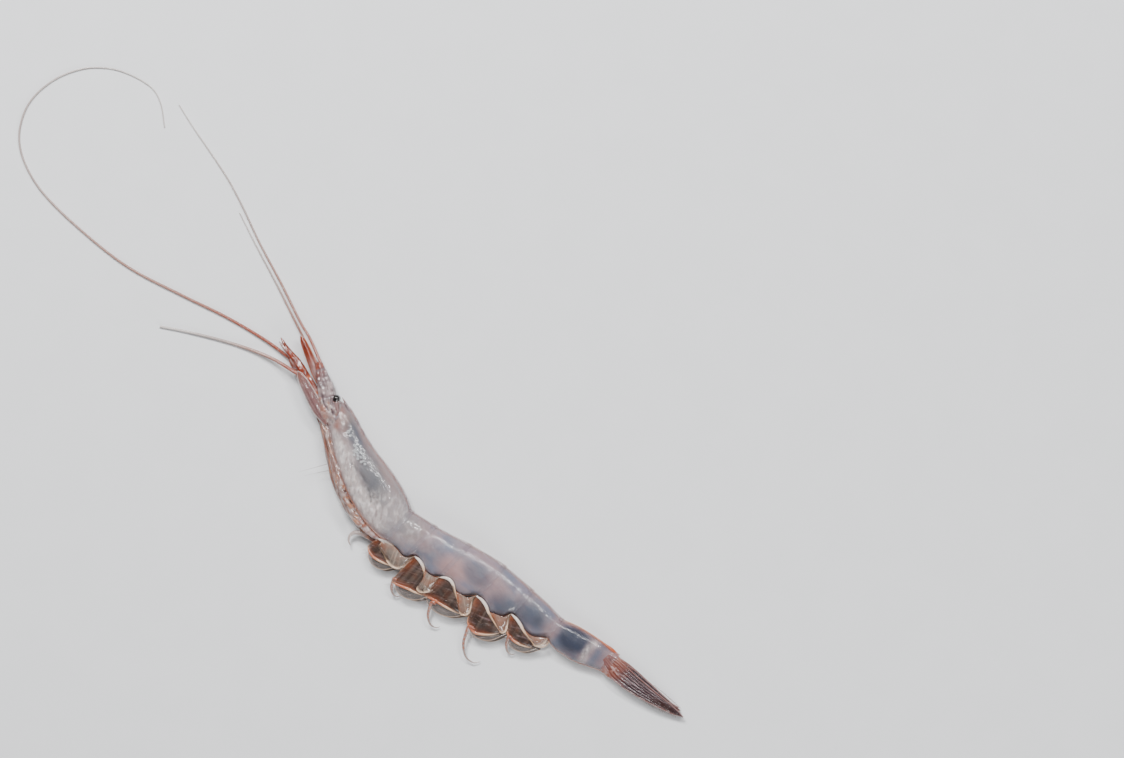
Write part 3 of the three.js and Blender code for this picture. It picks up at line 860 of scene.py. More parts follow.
# %% Root of the fan
def fan_base():
    """The crumpled, orange root that the blades spring from."""
    path = [(43.2, -1.2, 1.0), (45.2, -1.3, 1.02), (46.9, -1.5, 1.0), (48.8, -1.55, 0.95)]
    piece = tissue("fan_base", path,
                   [[0, 1.0], [0.35, 2.85], [0.6, 2.6], [0.85, 1.3], [1, 0.2]],
                   [[0, 0.4], [0.35, 1.35], [0.6, 1.5], [0.85, 1.15], [1, 0.5]], 0.13, 3.0)
    p = animal_points(piece)
    mark(piece, "rust", soft_step(p[:, 0], 44.6, 46.0) * np.clip(0.55 + 1.0 * noise_at(p, 0.6, 5.0), 0, 0.95))
    mark(piece, "milk", np.clip(0.9 * noise_at(p, 0.5, 2.0), 0, 0.8))
    mark(piece, "pink", 0.6)
    mark(piece, "deep", np.clip(0.9 * noise_at(p, 0.7, 8.0), 0, 0.5))
    return piece


fan.append(fan_base())

# %% [markdown]
# ## Films hung between two lines
#
# Below the flank every segment hangs a clear pocket with a bright rolled rim, and between two
# pockets a smoky film is stretched from the arch of the shell down to an orange edge. Such a film is
# known by its upper and its lower line, so the maker takes both, rules the film between them, cups
# and crumples it, and thickens the rim.

# %% The film maker
def film_between(name, upper, lower, high, low, thick=0.12, rim=0.3, cup=0.15, crumple=0.08, seed=0.0,
                 rim_width=0.14, rows=64, columns=22):
    """A closed film from an upper to a lower line, at heights `high` and `low` over the table."""
    top = path_through([(x, y, 0) for x, y in upper], rows)[:, None, :]
    bottom = path_through([(x, y, 0) for x, y in lower], rows)[:, None, :]
    t = np.linspace(0, 1, columns)[None, :]
    middle = top * (1 - t[:, :, None]) + bottom * t[:, :, None]
    width = np.linalg.norm(top - bottom, axis=2)
    s = np.linspace(0, 1, rows)[:, None]
    walk = np.zeros((rows, 3))
    walk[:, 0] = s[:, 0] * 5.0 + seed
    folds = noise_at(walk, 1.0, seed)[:, None]
    middle[:, :, 2] = high * (1 - t) + low * t + cup * np.sin(math.pi * t) + crumple * folds * (0.3 + t)
    middle[:, :, 2] += 0.5 * crumple * noise_at(middle.reshape(-1, 3), 0.5, seed + 3).reshape(rows, columns)
    to_rim = (1 - t) * width
    to_side = np.minimum(s, 1 - s) * np.linalg.norm(np.diff(bottom[:, 0], axis=0), axis=1).sum()
    edge = np.exp(-((to_rim / rim_width) ** 2)) + 0.6 * np.exp(-((to_side / (0.7 * rim_width)) ** 2))
    edge = np.clip(edge, 0, 1)
    half = thick / 2 + (rim - thick) / 2 * np.exp(-((to_rim / (0.8 * rim_width)) ** 2))
    above, below = middle.copy(), middle.copy()
    above[:, :, 2] = np.maximum(above[:, :, 2] + half, 0.06)
    below[:, :, 2] = np.maximum(below[:, :, 2] - half, 0.0)
    piece = sheet_of(name, above, below)
    crease = 0.35 * np.exp(-((folds / 0.05) ** 2))
    marks = {"edge": edge, "solid": edge + 0.3 * crease, "ridge": crease, "down": t, "side": s}
    for label, values in marks.items():
        mark(piece, label, both_faces(values, (rows, columns)))
    return piece


# %% [markdown]
# ## Swimming legs
#
# Five pairs of swimming legs hang from the belly, one pair to a segment. Seen from the flank each is
# a clear pocket with a cream rim, behind it a whitish fold that runs down from the arch of the
# shell, and in front a smoky film whose lower edge is orange. Both flanks have the same set, and the
# lower one shows through the upper.

# %% Lines of the pockets, arches and orange edges
POCKETS = [  # upper line, rim
    ([(13.9, -9.8), (14.8, -9.4), (15.7, -9.2), (16.5, -9.3), (17.2, -9.3), (17.8, -8.9), (18.1, -8.4)],
     [(13.9, -10.6), (14.8, -10.8), (15.8, -11.1), (16.6, -11.26), (17.2, -11.19), (17.7, -10.88),
      (17.97, -10.3), (18.02, -9.4), (18.12, -8.4)]),
    ([(20.3, -8.75), (21.2, -8.7), (21.9, -8.5), (22.2, -8.15)],
     [(20.9, -9.6), (21.05, -10.5), (21.18, -11.12), (21.6, -11.24), (22.0, -11.03), (22.56, -10.3),
      (22.74, -9.8), (22.5, -9.2), (22.37, -8.65), (22.3, -8.1)]),
    ([(25.0, -8.0), (25.9, -7.8), (26.6, -7.6), (27.0, -7.1), (27.2, -6.7)],
     [(26.5, -9.2), (26.85, -9.5), (27.3, -9.7), (27.75, -9.6), (28.05, -9.2), (28.02, -8.67),
      (27.6, -7.96), (27.25, -7.34), (27.23, -6.6)]),
    ([(30.0, -7.0), (30.8, -6.6), (31.6, -6.3), (31.9, -5.8), (32.0, -5.4)],
     [(31.3, -7.5), (32.0, -7.85), (32.55, -7.95), (32.95, -7.82), (33.06, -7.36), (32.75, -6.78),
      (32.3, -6.1), (32.06, -5.3)]),
    ([(34.8, -5.6), (35.8, -5.6), (36.4, -5.3), (37.0, -4.8), (37.5, -4.5)],
     [(35.4, -5.9), (36.2, -6.1), (37.1, -6.15), (37.58, -5.7), (37.7, -5.1), (37.6, -4.45)]),
]
ARCHES = [  # the arch of the shell, running on down the fold inside the next pocket
    [(13.2, -9.9), (14.2, -9.55), (15.2, -9.35), (16.2, -9.75), (16.5, -10.3)],
    [(18.12, -8.35), (18.9, -8.3), (19.7, -8.5), (20.25, -8.85), (20.85, -9.4), (21.5, -10.1)],
    [(22.3, -8.15), (22.8, -7.7), (23.5, -7.48), (24.2, -7.65), (24.9, -8.12), (25.8, -8.68), (26.8, -9.4)],
    [(27.23, -6.7), (28.1, -6.55), (29.1, -6.75), (29.95, -7.18), (30.7, -7.45), (31.7, -7.73),
     (32.6, -7.92)],
    [(32.06, -5.3), (33.0, -5.31), (33.9, -5.5), (34.9, -5.86), (36.0, -6.05), (36.8, -6.2)],
]
ORANGE_EDGES = [
    [(12.9, -11.5), (13.6, -11.9), (14.6, -12.0), (15.8, -11.7), (16.8, -11.3)],
    [(18.1, -12.6), (18.7, -12.6), (19.3, -12.4), (20.3, -12.0), (21.4, -11.65), (22.4, -11.25)],
    [(22.3, -11.3), (22.8, -11.05), (24.0, -10.7), (25.1, -10.46), (26.1, -10.2), (27.4, -9.8)],
    [(28.4, -9.3), (28.8, -9.85), (29.4, -10.15), (30.4, -10.23), (31.1, -9.8), (32.0, -9.0), (32.7, -8.15)],
    [(33.0, -7.1), (33.5, -7.45), (34.1, -7.6), (35.0, -7.55), (35.8, -7.3), (36.9, -6.75)],
]
print("swimming legs on each flank:", len(POCKETS))

# %% [markdown]
# ### One swimming leg
#
# The pocket, the smoky film and the broad blade are films, and the fold and the orange edge are thin
# jointed limbs laid along them, because a rolled edge is a rod and not a crease. The whip that
# curls from the blade's tip thins to a hair.

# %% Heights, whips and finishes
HEIGHTS = {"upper": (2.45, 1.75), "lower": (0.75, 0.35)}  # mm over the table, at the body and at the rim
WHIPS = [  # where each whip starts, and its length
    None, ((18.3, -12.2), 0.5), ((23.9, -11.1), 0.7), ((29.5, -10.1), 1.0), ((34.0, -7.6), 0.5),
]
WHIP_TURN = [(0.6, 0.2), (-0.15, -0.05), (0.1, -0.9), (0.9, -2.3), (2.2, -3.2), (3.4, -3.1), (4.0, -2.4)]
POCKET = clear_chitin("pocket_film", "#94857B", "#F0CFAE", 0.5, 1.0, 0.12,
                      {"ridge": "#E6D3BE", "rust": "#A8603F"})
SMOKE = clear_chitin("smoky_film", "#453630", "#A07C66", 0.54, 0.92, 0.12,
                     {"ridge": "#8A766A", "rust": "#A0522F"}, 24, 0.06)
ROLL = clear_chitin("rolled_edge", "#EBC3A0", "#F3E0CC", 0.9, 1.0, 0.12,
                    {"rust": "#B0481F", "pale": "#E6DAD2"})
WHIP = clear_chitin("whip_film", "#9C857E", "#A5654D", 0.85, 0.95, 0.2, {"rust": "#9C4A2B"})


def shifted(line, flank):
    """The lower flank's leg lies a little behind the upper one."""
    return line if flank == "upper" else [(x + 0.45, y + 0.12) for x, y in line]


# %% Pocket and rim
def pocket_parts(number, tag, upper, rim, high, low):
    """The clear pocket, whiter or rustier in patches, and the rolled rim that holds it open."""
    pocket = film_between(f"pocket_{tag}", upper, rim, high, low, cup=0.3, crumple=0.12, seed=number)
    blush = 0.1 + 0.12 * number + 0.5 * noise_at(animal_points(pocket), 0.9, number + 7)
    near_start = 1 - soft_step(read_back(pocket, "side"), 0.0, 0.3)
    mark(pocket, "rust", 0.6 * near_start + np.clip(blush, 0, 0.5))
    pocket.data.materials.append(POCKET)
    rod = limb(f"pocket_rim_{tag}", [(*at, low + 0.02) for at in rim],
               [[0, 0.08], [0.25, 0.2], [0.6, 0.3], [0.85, 0.24], [1, 0.08]], sides=12, rows=90, finish=ROLL)
    along = read_back(rod, "along")
    mark(rod, "pale", 0.5 * soft_step(along, 0.3, 0.7))
    mark(rod, "rust", 0.35 * (1 - soft_step(along, 0.0, 0.35)) + 0.3 * soft_step(along, 0.85, 1.0))
    return [pocket, rod]


# %% Smoky film, fold and hem
def smoky_parts(number, tag, arch, hem, high, low):
    """The smoky film, the whitish fold along its arch and the orange roll along its hem."""
    smoke = film_between(f"smoky_film_{tag}", arch, hem, high - 0.25, low - 0.25, rim=0.2, cup=0.2,
                         seed=number + 20)
    down, side = read_back(smoke, "down"), read_back(smoke, "side")
    root = (1 - soft_step(side, 0.02, 0.3)) * (1 - soft_step(down, 0.2, 0.9))
    veined = 0.25 * np.clip(noise_at(animal_points(smoke), 0.8, 2.0), 0, 1)
    mark(smoke, "rust", 0.7 * soft_step(down, 0.74, 1.0) + 0.5 * root + veined)
    smoke.data.materials.append(SMOKE)
    line = [(*at, high - 0.05 - 0.08 * i) for i, at in enumerate(arch)]
    fold = limb(f"fold_{tag}", line,
                [[0, 0.06], [0.14, 0.34], [0.35, 0.42], [0.6, 0.3], [0.85, 0.24], [1, 0.08]],
                [[0, 0.05], [0.2, 0.22], [0.6, 0.26], [1, 0.08]], sides=12, rows=80, finish=ROLL)
    along = read_back(fold, "along")
    mark(fold, "pale", 1 - soft_step(along, 0.25, 0.6))
    mark(fold, "rust", 0.7 * np.exp(-(((along - 0.05) / 0.1) ** 2)))
    rod = limb(f"orange_edge_{tag}", [(*at, low - 0.25) for at in hem],
               [[0, 0.08], [0.2, 0.32], [0.5, 0.38], [0.8, 0.26], [1, 0.08]], sides=12, rows=70, finish=ROLL)
    mark(rod, "rust", 0.85 * (1 - soft_step(np.abs(read_back(rod, "along") - 0.3), 0.05, 0.45)))
    return [smoke, fold, rod]


# %% Blade and whip
def broad_blade(number, tag, hem, low):
    """The broad clear blade that lies below the film's hem."""
    middle = np.array(hem).mean(0)
    (x0, y0), (x1, y1) = hem[-1], hem[0]
    path = [(x0 + 0.5, y0 + 0.7, low - 0.35), (middle[0] + 0.2, middle[1] - 0.15, low - 0.5),
            (x1 + 0.5, y1 + 0.2, low - 0.55)]
    blade = leaf(f"broad_blade_{tag}", path, [[0, 0.7], [0.4, 2.2], [0.8, 1.7], [1, 0.4]], cup=0.12, ribs=3,
                 rib_height=0.04, edge_width=0.08, ripple=0.08, seed=number + 40)
    blade.data.materials.append(FILM)
    return blade


def whip(tag, start, reach):
    """The whip that curls away from the blade's tip and down to the table."""
    curl = [(start[0] + dx * reach, start[1] + dy * reach, 1.75 - 0.25 * i)
            for i, (dx, dy) in enumerate(WHIP_TURN)]
    piece = limb(f"whip_{tag}", curl, [[0, 0.1], [0.05, 0.4], [0.2, 0.44], [0.5, 0.34], [1, 0.06]],
                 joints=(0.12, 0.2, 0.28, 0.36, 0.44, 0.52), swell=0.035, rows=140, finish=WHIP)
    mark(piece, "rust", 0.75 * (1 - soft_step(read_back(piece, "along"), 0.03, 0.32)))
    return piece


# %% All the swimming legs
def swimming_leg(number, flank):
    high, low = HEIGHTS[flank]
    arch, hem = shifted(ARCHES[number], flank), shifted(ORANGE_EDGES[number], flank)
    upper, rim = (shifted(line, flank) for line in POCKETS[number])
    tag = f"{number + 1}_{flank}"
    pocket, rim_rod = pocket_parts(number, tag, upper, rim, high, low)
    smoke, fold, hem_rod = smoky_parts(number, tag, arch, hem, high, low)
    parts = [pocket, smoke, fold, rim_rod, hem_rod, broad_blade(number, tag, hem, low)]
    if WHIPS[number] and flank == "upper":
        parts.append(whip(tag, *WHIPS[number]))
    return parts


swimming = []
for number in range(len(POCKETS)):
    for flank in HEIGHTS:
        swimming += swimming_leg(number, flank)
print("swimming-leg pieces:", len(swimming))

# %% [markdown]
# ### The orange ridge
#
# Along the back of the last segment the shell is folded into a low orange ridge that swells to a
# small knob above the fan. It is a rolled edge like the others, so it is a thin limb on the back.

# %% Orange ridge
RIDGE_X = (37.4, 39.4, 41.4, 43.2, 44.6, 45.6)
ridge_line = [(x, float(back_line(x)) - 0.06, MID_HEIGHT * float(thickness(x)) + 0.25) for x in RIDGE_X]
tail_ridge = limb("tail_ridge", ridge_line, [[0, 0.08], [0.4, 0.2], [0.72, 0.3], [0.9, 0.5], [1, 0.12]],
                  [[0, 0.1], [0.5, 0.3], [0.9, 0.6], [1, 0.15]], sides=18, rows=90, finish=ROLL)
mark(tail_ridge, "rust", 0.45 + 0.55 * read_back(tail_ridge, "along"))
fan.append(tail_ridge)
print("ridge length, mm:", round(RIDGE_X[-1] - RIDGE_X[0], 1))

# %% [markdown]
# ## Walking legs
#
# Thirteen thin legs fold forward along the belly in a tight bundle, eight on the upper flank and
# five on the lower. Each starts at its own socket under the carapace, bends down to the bundle and runs
# forward, thinning to a point. One hooked leg hangs free behind the bundle with its pale tip curled.

# %% Walking legs
BUNDLE = path_through([
    (13.4, -9.95, 0), (11.9, -10.35, 0), (9.2, -10.25, 0), (6.4, -9.5, 0), (4.4, -8.55, 0), (2.7, -7.6, 0),
    (-1.2, -5.0, 0), (-3.4, -3.9, 0), (-4.6, -3.15, 0),
], 200)[:, :2]
SOCKET_TO_BEND = 1.4  # mm from a leg's socket forward to where it joins the bundle
WALKING_LEGS = [  # socket x, tip x, how far inside the bundle's edge, height
    (13.3, -3.9, 0.02, 1.3), (12.4, -2.4, 0.22, 2.05), (11.6, -4.3, 0.36, 2.55),
    (10.5, -1.2, 0.55, 2.9), (9.4, -4.5, 0.68, 3.1), (8.0, -3.4, 0.9, 3.3),
    (6.8, -4.4, 1.02, 3.2), (5.2, -2.9, 1.22, 3.15), (12.8, -3.1, 0.08, 0.75),
    (11.0, -2.2, 0.32, 0.45), (9.2, -3.6, 0.55, 0.8), (7.2, -2.6, 0.8, 0.5), (5.0, -3.0, 1.0, 0.7),
]


def walking_leg(number, socket_x, tip_x, inset, height):
    start = np.argmin(np.abs(BUNDLE[:, 0] - (socket_x - SOCKET_TO_BEND)))
    end = np.argmin(np.abs(BUNDLE[:, 0] - tip_x))
    run = BUNDLE[np.linspace(start, end, 7).astype(int)]
    flat = thickness(np.clip(run[:, 0], -3, 14)) / 4.5
    wave = [0.16 * math.sin(2.1 * number + 1.7 * i) for i in range(7)]
    route = [(socket_x - 0.4, float(belly_line(socket_x)) + 0.55, 0.4 * height + 0.3)]
    route += [(x, y + inset * 0.9 + w, height * f + 0.15 * w) for (x, y), f, w in zip(run, flat, wave)]
    leg = limb(f"walking_leg_{number + 1}", route,
               [[0, 0.8], [0.12, 0.62], [0.5, 0.42], [0.85, 0.3], [1, 0.06]],
               joints=(0.13, 0.34, 0.58, 0.8), swell=0.14, rows=110, sides=12, finish=LEG)
    p = animal_points(leg)
    under_gills = soft_step(p[:, 0], 4.0, 9.0)
    mark(leg, "rust", (0.7 - 0.2 * under_gills) * np.clip(0.4 + 0.8 * noise_at(p, 1.3, number), 0, 1))
    mark(leg, "pale", np.clip(0.35 * under_gills + 0.9 * noise_at(p, 0.7, number + 30), 0, 1))
    return leg


# %% The bundle and the hooked leg
legs = [walking_leg(i, *given) for i, given in enumerate(WALKING_LEGS)]
hooked = limb(
    "hooked_leg",
    [(14.9, -9.2, 1.5), (13.4, -10.3, 1.3), (12.3, -10.62, 1.25), (11.2, -10.95, 1.15),
     (10.5, -11.5, 1.05), (10.4, -12.2, 1.0), (10.75, -12.75, 0.95), (11.3, -13.0, 0.9)],
    [[0, 0.95], [0.3, 0.7], [0.55, 0.62], [0.8, 0.42], [1, 0.08]], joints=(0.2, 0.44), finish=LEG, rows=80,
)
hook_points = animal_points(hooked)
mark(hooked, "rust", 0.9 * soft_step(hook_points[:, 0], 11.6, 13.6))
mark(hooked, "pale", 0.6 - 0.6 * soft_step(hook_points[:, 0], 10.6, 12.2))
legs.append(hooked)
print("legs:", len(legs))

# %% [markdown]
# ## The head's front
#
# In front of the eyes stand two pairs of feelers on ridged stalks, a pair of broad clear scales
# with a stiff bright outer edge, an orange blade between them and a small orange claw. Left and
# right lie one over the other, so each pair is made once for each flank with a small shift.

# %% Finishes and furrows of the head
STALK = clear_chitin("stalk_skin", "#5F4C51", "#7D6A6D", 0.9, 0.97, 0.16,
                     {"pale": "#AE9A99", "rust": "#8F4129"}, -38, 0.08)
ORANGE = clear_chitin("orange_claw", "#80301A", "#A85C40", 0.93, 1.0, 0.16,
                      {"pale": "#A58B87", "rust": "#5C1D0F"}, -25, 0.05)
BEHIND = 0.35  # mm that the lower flank's scale and stalk lie off the upper ones


def flutes(piece, depth):
    """Presses uneven lengthwise furrows into a stalk, as on a wet, ridged skin."""
    p = animal_points(piece)
    along = p[:, 0] * 0.85 - p[:, 1] * 0.5
    across = p[:, 0] * 0.5 + p[:, 1] * 0.85
    sway = noise_at(np.stack([along, across * 0.4, p[:, 2] * 0.4], 1), 1.6, 3.0)
    furrow = np.sin((across + 0.35 * sway) * 9.0) * 0.5 + 0.6 * noise_at(p, 0.45, 6.0)
    p[:, 2] = np.maximum(p[:, 2] + depth * furrow * np.sign(p[:, 2] - np.median(p[:, 2])), 0)
    piece.data.vertices.foreach_set("co", to_frame(p).ravel())
    piece.data.update()


# %% Scales and antennule stalks
def antennal_scale(flank):
    side, shift = (1, 0.0) if flank == "upper" else (-1, BEHIND)
    level = 1.45 + 0.75 * side
    route = [(-1.4, -3.7, level), (-3.6, -3.1, level), (-6.2, -2.2 + shift, level),
             (-8.7, -1.35 + shift, level - 0.1)]
    piece = leaf(f"antennal_scale_{flank}", route,
                 [[0, 0.8], [0.3, 1.5], [0.7, 1.35], [0.92, 0.85], [1, 0.25]], thick=0.26, cup=0.2, ribs=3,
                 rib_height=0.09, edge_width=0.09, rows=90, columns=41, ripple=0.07, seed=2 + side)
    p = animal_points(piece)
    mark(piece, "rust", 0.6 * soft_step(-p[:, 0], 6.6, 8.6) + 0.25 * np.clip(noise_at(p, 1.0, 4.0), 0, 1))
    piece.data.materials.append(SCALE)
    return piece


def antennule_stalk(flank):
    side, shift = (1, 0.0) if flank == "upper" else (-1, BEHIND)
    level = 1.5 + 0.7 * side
    route = [(-0.9, -2.7, level), (-3.3, -1.4, level), (-5.3, -0.1, level), (-7.6, 1.3 - 1.3 * shift, level)]
    piece = limb(f"antennule_stalk_{flank}", route,
                 [[0, 1.7], [0.28, 1.9], [0.5, 2.15], [0.74, 1.65], [1, 0.85]],
                 [[0, 1.3], [0.3, 1.45], [0.5, 1.35], [0.8, 1.0], [1, 0.6]],
                 joints=(0.4, 0.66, 0.86), swell=0.035, sides=56, rows=150, finish=STALK)
    flutes(piece, 0.13)
    p = animal_points(piece)
    mark(piece, "rust", 0.75 * soft_step(-p[:, 0], 5.4, 7.4))
    mottled = np.clip(0.5 + 0.9 * noise_at(p, 0.6, 8.0), 0, 1)
    mark(piece, "pale", mottled * (1 - soft_step(-p[:, 0], 5.2, 7.0)))
    return piece


head = [antennal_scale(flank) for flank in HEIGHTS] + [antennule_stalk(flank) for flank in HEIGHTS]
print("scales and stalks:", [piece.name for piece in head])

# %% Inner scale
inner_scale = leaf(
    "inner_scale", [(-4.6, -0.6, 1.5), (-6.9, 0.1, 1.6), (-9.2, 1.15, 1.5), (-11.5, 2.15, 1.3)],
    [[0, 1.3], [0.4, 1.2], [0.75, 1.0], [0.92, 0.75], [1, 0.3]], thick=0.55, cup=0.2, ribs=1, rib_height=0.1,
    edge_width=0.14, ripple=0.03,
)
scale_points = animal_points(inner_scale)
mark(inner_scale, "rust", 0.5 * np.clip(noise_at(scale_points, 0.8, 2.0) + 0.3, 0, 1))
mark(inner_scale, "pale", 0.75 - 0.75 * soft_step(-scale_points[:, 0], 6.8, 9.6))
inner_scale.data.materials.append(ORANGE)
head.append(inner_scale)

# %% [markdown]
# ### The small claw
#
# The claw lies between the two pairs of feelers: a straight orange palm and two pointed fingers,
# one of them pale. Palm and fingers are limbs with their own tapers.

# %% Claw
palm = limb("claw_palm", [(-2.6, -3.2, 1.5), (-5.6, -1.65, 1.75), (-8.2, -0.92, 1.65), (-10.3, -0.5, 1.4)],
            [[0, 0.8], [0.3, 1.0], [0.6, 0.95], [0.85, 1.1], [1, 0.75]], [[0, 0.8], [0.6, 0.95], [1, 0.7]],
            joints=(0.35, 0.62), swell=0.05, sides=36, rows=110, finish=ORANGE)
flutes(palm, 0.11)
palm_points = animal_points(palm)
mark(palm, "pale", 0.7 * (1 - soft_step(-palm_points[:, 0], 4.2, 7.0)))
mark(palm, "rust", 0.5 * np.clip(noise_at(palm_points, 0.9, 9.0) + 0.2, 0, 1))
head.append(palm)
FINGERS = [  # name, y at the root, tip, how pale the tip is
    ("pale_finger", -0.62, (-13.1, -0.28, 1.1), 0.95),
    ("orange_finger", -0.34, (-13.35, 0.28, 1.1), 0.0),
]
for name, root_y, tip, paleness in FINGERS:
    finger = limb(name, [(-9.3, root_y - 0.1, 1.45), (-11.7, root_y * 0.85 + 0.1, 1.3), tip],
                  [[0, 0.7], [0.4, 0.62], [0.8, 0.4], [1, 0.06]], sides=26, rows=90, finish=ORANGE)
    flutes(finger, 0.04)
    finger_points = animal_points(finger)
    mark(finger, "pale", paleness * soft_step(-finger_points[:, 0], 11.0, 12.4))
    mark(finger, "rust", 0.35 * np.clip(noise_at(finger_points, 0.7, 1.0) + 0.4, 0, 1))
    head.append(finger)
print("fingers:", len(FINGERS))

# %% Antenna stalks
for flank, tip in (("upper", (-8.65, -1.62, 1.75)), ("lower", (-10.6, -0.95, 0.62))):
    middle = tuple((a + b) / 2 for a, b in zip((-4.4, -2.7, 1.5), tip))
    stalk = limb(f"antenna_stalk_{flank}", [(-4.0, -2.8, 1.5), middle, tip],
                 [[0, 1.15], [0.5, 0.95], [0.85, 0.8], [1, 0.6]], joints=(0.45, 0.8), sides=20, finish=STALK)
    stalk_points = animal_points(stalk)
    mark(stalk, "rust", 0.8 * soft_step(-stalk_points[:, 0], 5.0, 8.4))
    mark(stalk, "pale", 0.5 * np.clip(noise_at(stalk_points, 0.6, 5.0), 0, 1))
    head.append(stalk)
print("head pieces so far:", len(head))

# %% [markdown]
# ### The spines of the back
#
# A few small spines stand on the carapace, and the longest points forward between the eyes. They
# are three short tapered limbs, joined into one piece.

# %% Back spines
spines = []
for number, (x, y, reach) in enumerate([(-1.0, -0.36, 1.35), (0.9, -0.72, 0.35), (2.4, -1.22, 0.3)]):
    path = [(x + 0.9, y - 0.5, 2.05), (x, y, 2.08), (x - reach, y + 0.33 * reach, 2.05)]
    spine = limb(f"back_spine_{number + 1}", path, [[0, 0.3], [0.45, 0.36], [0.8, 0.18], [1, 0.03]], sides=14,
                 rows=40, finish=STALK)
    mark(spine, "rust", 0.45 * soft_step(read_back(spine, "along"), 0.5, 0.95))
    mark(spine, "pale", 0.3)
    spines.append(spine)
head.append(joined("back_spines", spines))
print("back spines:", len(spines))

# %% [markdown]
# ### The tissue of the head and the leg bases
#
# One lump covers the bases of the stalks, scales and mouthparts and makes the head one mass. A
# second, long and narrow, fills the gap between the carapace and the legs, where the leg bases and
# the gills' lower edge show as a rusty, pitted seam.

# %% Head tissue and leg bases
def head_tissue():
    line = [(0.9, -3.0, 1.4), (-1.2, -2.6, 1.6), (-3.0, -1.95, 1.65), (-5.2, -0.85, 1.6)]
    piece = tissue("head_tissue", line,
                   [[0, 0.4], [0.2, 2.2], [0.42, 3.2], [0.65, 2.8], [0.85, 2.1], [1, 0.4]],
                   [[0, 0.3], [0.2, 1.8], [0.42, 2.5], [0.65, 2.4], [0.85, 1.8], [1, 0.3]], 0.17, 2.0)
    p = animal_points(piece)
    mark(piece, "milk", np.clip(0.1 + 0.9 * noise_at(p, 0.7, 3.0), 0, 0.8))
    mark(piece, "pink", np.clip(0.6 + 0.8 * noise_at(p, 1.1, 6.0), 0, 1))
    mark(piece, "rust", np.clip(0.35 + 0.9 * noise_at(p, 0.8, 12.0), 0, 0.9))
    mark(piece, "warm", 0.6)
    mark(piece, "clear", 0.6 * np.clip(noise_at(p, 0.9, 15.0), 0, 1))
    return piece


def leg_bases():
    line = [(14.6, -9.5, 1.5), (12.6, -9.85, 1.55), (10.4, -9.8, 1.6), (8.0, -9.35, 1.6),
            (5.4, -8.2, 1.5), (2.2, -6.4, 1.4)]
    piece = tissue("leg_bases", line, [[0, 0.3], [0.12, 0.9], [0.5, 1.2], [0.85, 0.9], [1, 0.2]],
                   [[0, 0.4], [0.12, 2.0], [0.5, 2.5], [0.85, 1.8], [1, 0.3]], 0.16, 6.0, rows=260)
    p = animal_points(piece)
    mark(piece, "rust", np.clip(0.35 + 0.9 * noise_at(p, 0.7, 3.0), 0, 0.9))
    mark(piece, "milk", np.clip(0.4 + 1.1 * noise_at(p, 0.5, 9.0), 0, 1))
    mark(piece, "pink", 0.6)
    return piece


legs.append(leg_bases())
head.append(head_tissue())
print("faces of the leg bases and head tissue:", len(legs[-1].data.polygons), len(head[-1].data.polygons))

# %% [markdown]
# ### The eyes
#
# Each eye is a glossy black bead on a short pale stalk. It is squashed a little along its stalk,
# and fine facets cover it. The bead is a lofted form and the facets are a very fine bump.

# %% Eyes
FACET_SIZE = 0.06  # mm
EYE_HALF_LENGTH, EYE_RADIUS = 0.46, 0.52  # mm


def eye_black():
    surface = {"Roughness": 0.12, "IOR": 1.45, "Coat Weight": 1.0, "Coat Roughness": 0.03}
    material, tree, shader = new_finish("eye_black", surface)
    where = add(tree, "ShaderNodeTexCoord").outputs["Object"]
    cells = add(tree, "ShaderNodeTexVoronoi", {"Vector": where, "Scale": 1 / (FACET_SIZE * MM)})
    depth = contrast(tree, cells.outputs["Distance"], 0.1, 0.7)
    tone = blend_colours(tree, [(depth, colour("#1A1214"))], colour("#0A0809"))
    tree.links.new(tone, shader.inputs["Base Color"])
    bump = add(tree, "ShaderNodeBump", {"Height": depth, "Strength": 0.1, "Distance": 0.01 * MM})
    tree.links.new(bump.outputs[0], shader.inputs["Normal"])
    return material


EYE = eye_black()


def eye(flank, height):
    """A black bead of hoops along x, and the pale stalk that carries it."""
    t = np.linspace(0, math.pi, 28)[1:-1, None]
    angle = hoop_angles(32)[None, :]
    grid = np.stack([
        -2.75 - EYE_HALF_LENGTH * np.cos(t) + 0 * angle,
        -0.5 + EYE_RADIUS * np.sin(t) * np.cos(angle) + 0.05 * np.cos(2 * t),
        height + EYE_RADIUS * np.sin(t) * np.sin(angle),
    ], -1)
    bead = hoops(f"eye_{flank}", grid)
    bead.data.materials.append(EYE)
    stalk = limb(f"eye_stalk_{flank}", [(-1.3, -1.75, height), (-1.9, -1.3, height), (-2.45, -0.8, height)],
                 [[0, 0.5], [0.6, 0.62], [1, 0.8]], sides=20, rows=30, finish=STALK)
    mark(stalk, "pale", 0.5)
    mark(stalk, "rust", 0.25)
    return [bead, stalk]


head += eye("upper", 2.5) + eye("lower", 1.25)
print("head pieces:", len(head))

# %% [markdown]
# ## Whiskers
#
# Whiskers are stacks of tiny rings, stiff at the root and as fine as a hair at the tip. They lie
# on the table in long curves, and one swings round in a loop. A Geometry Nodes tree sweeps a ring
# along each route, thins it from root to tip and writes how far along each point is, which turns
# the red-brown root silvery.

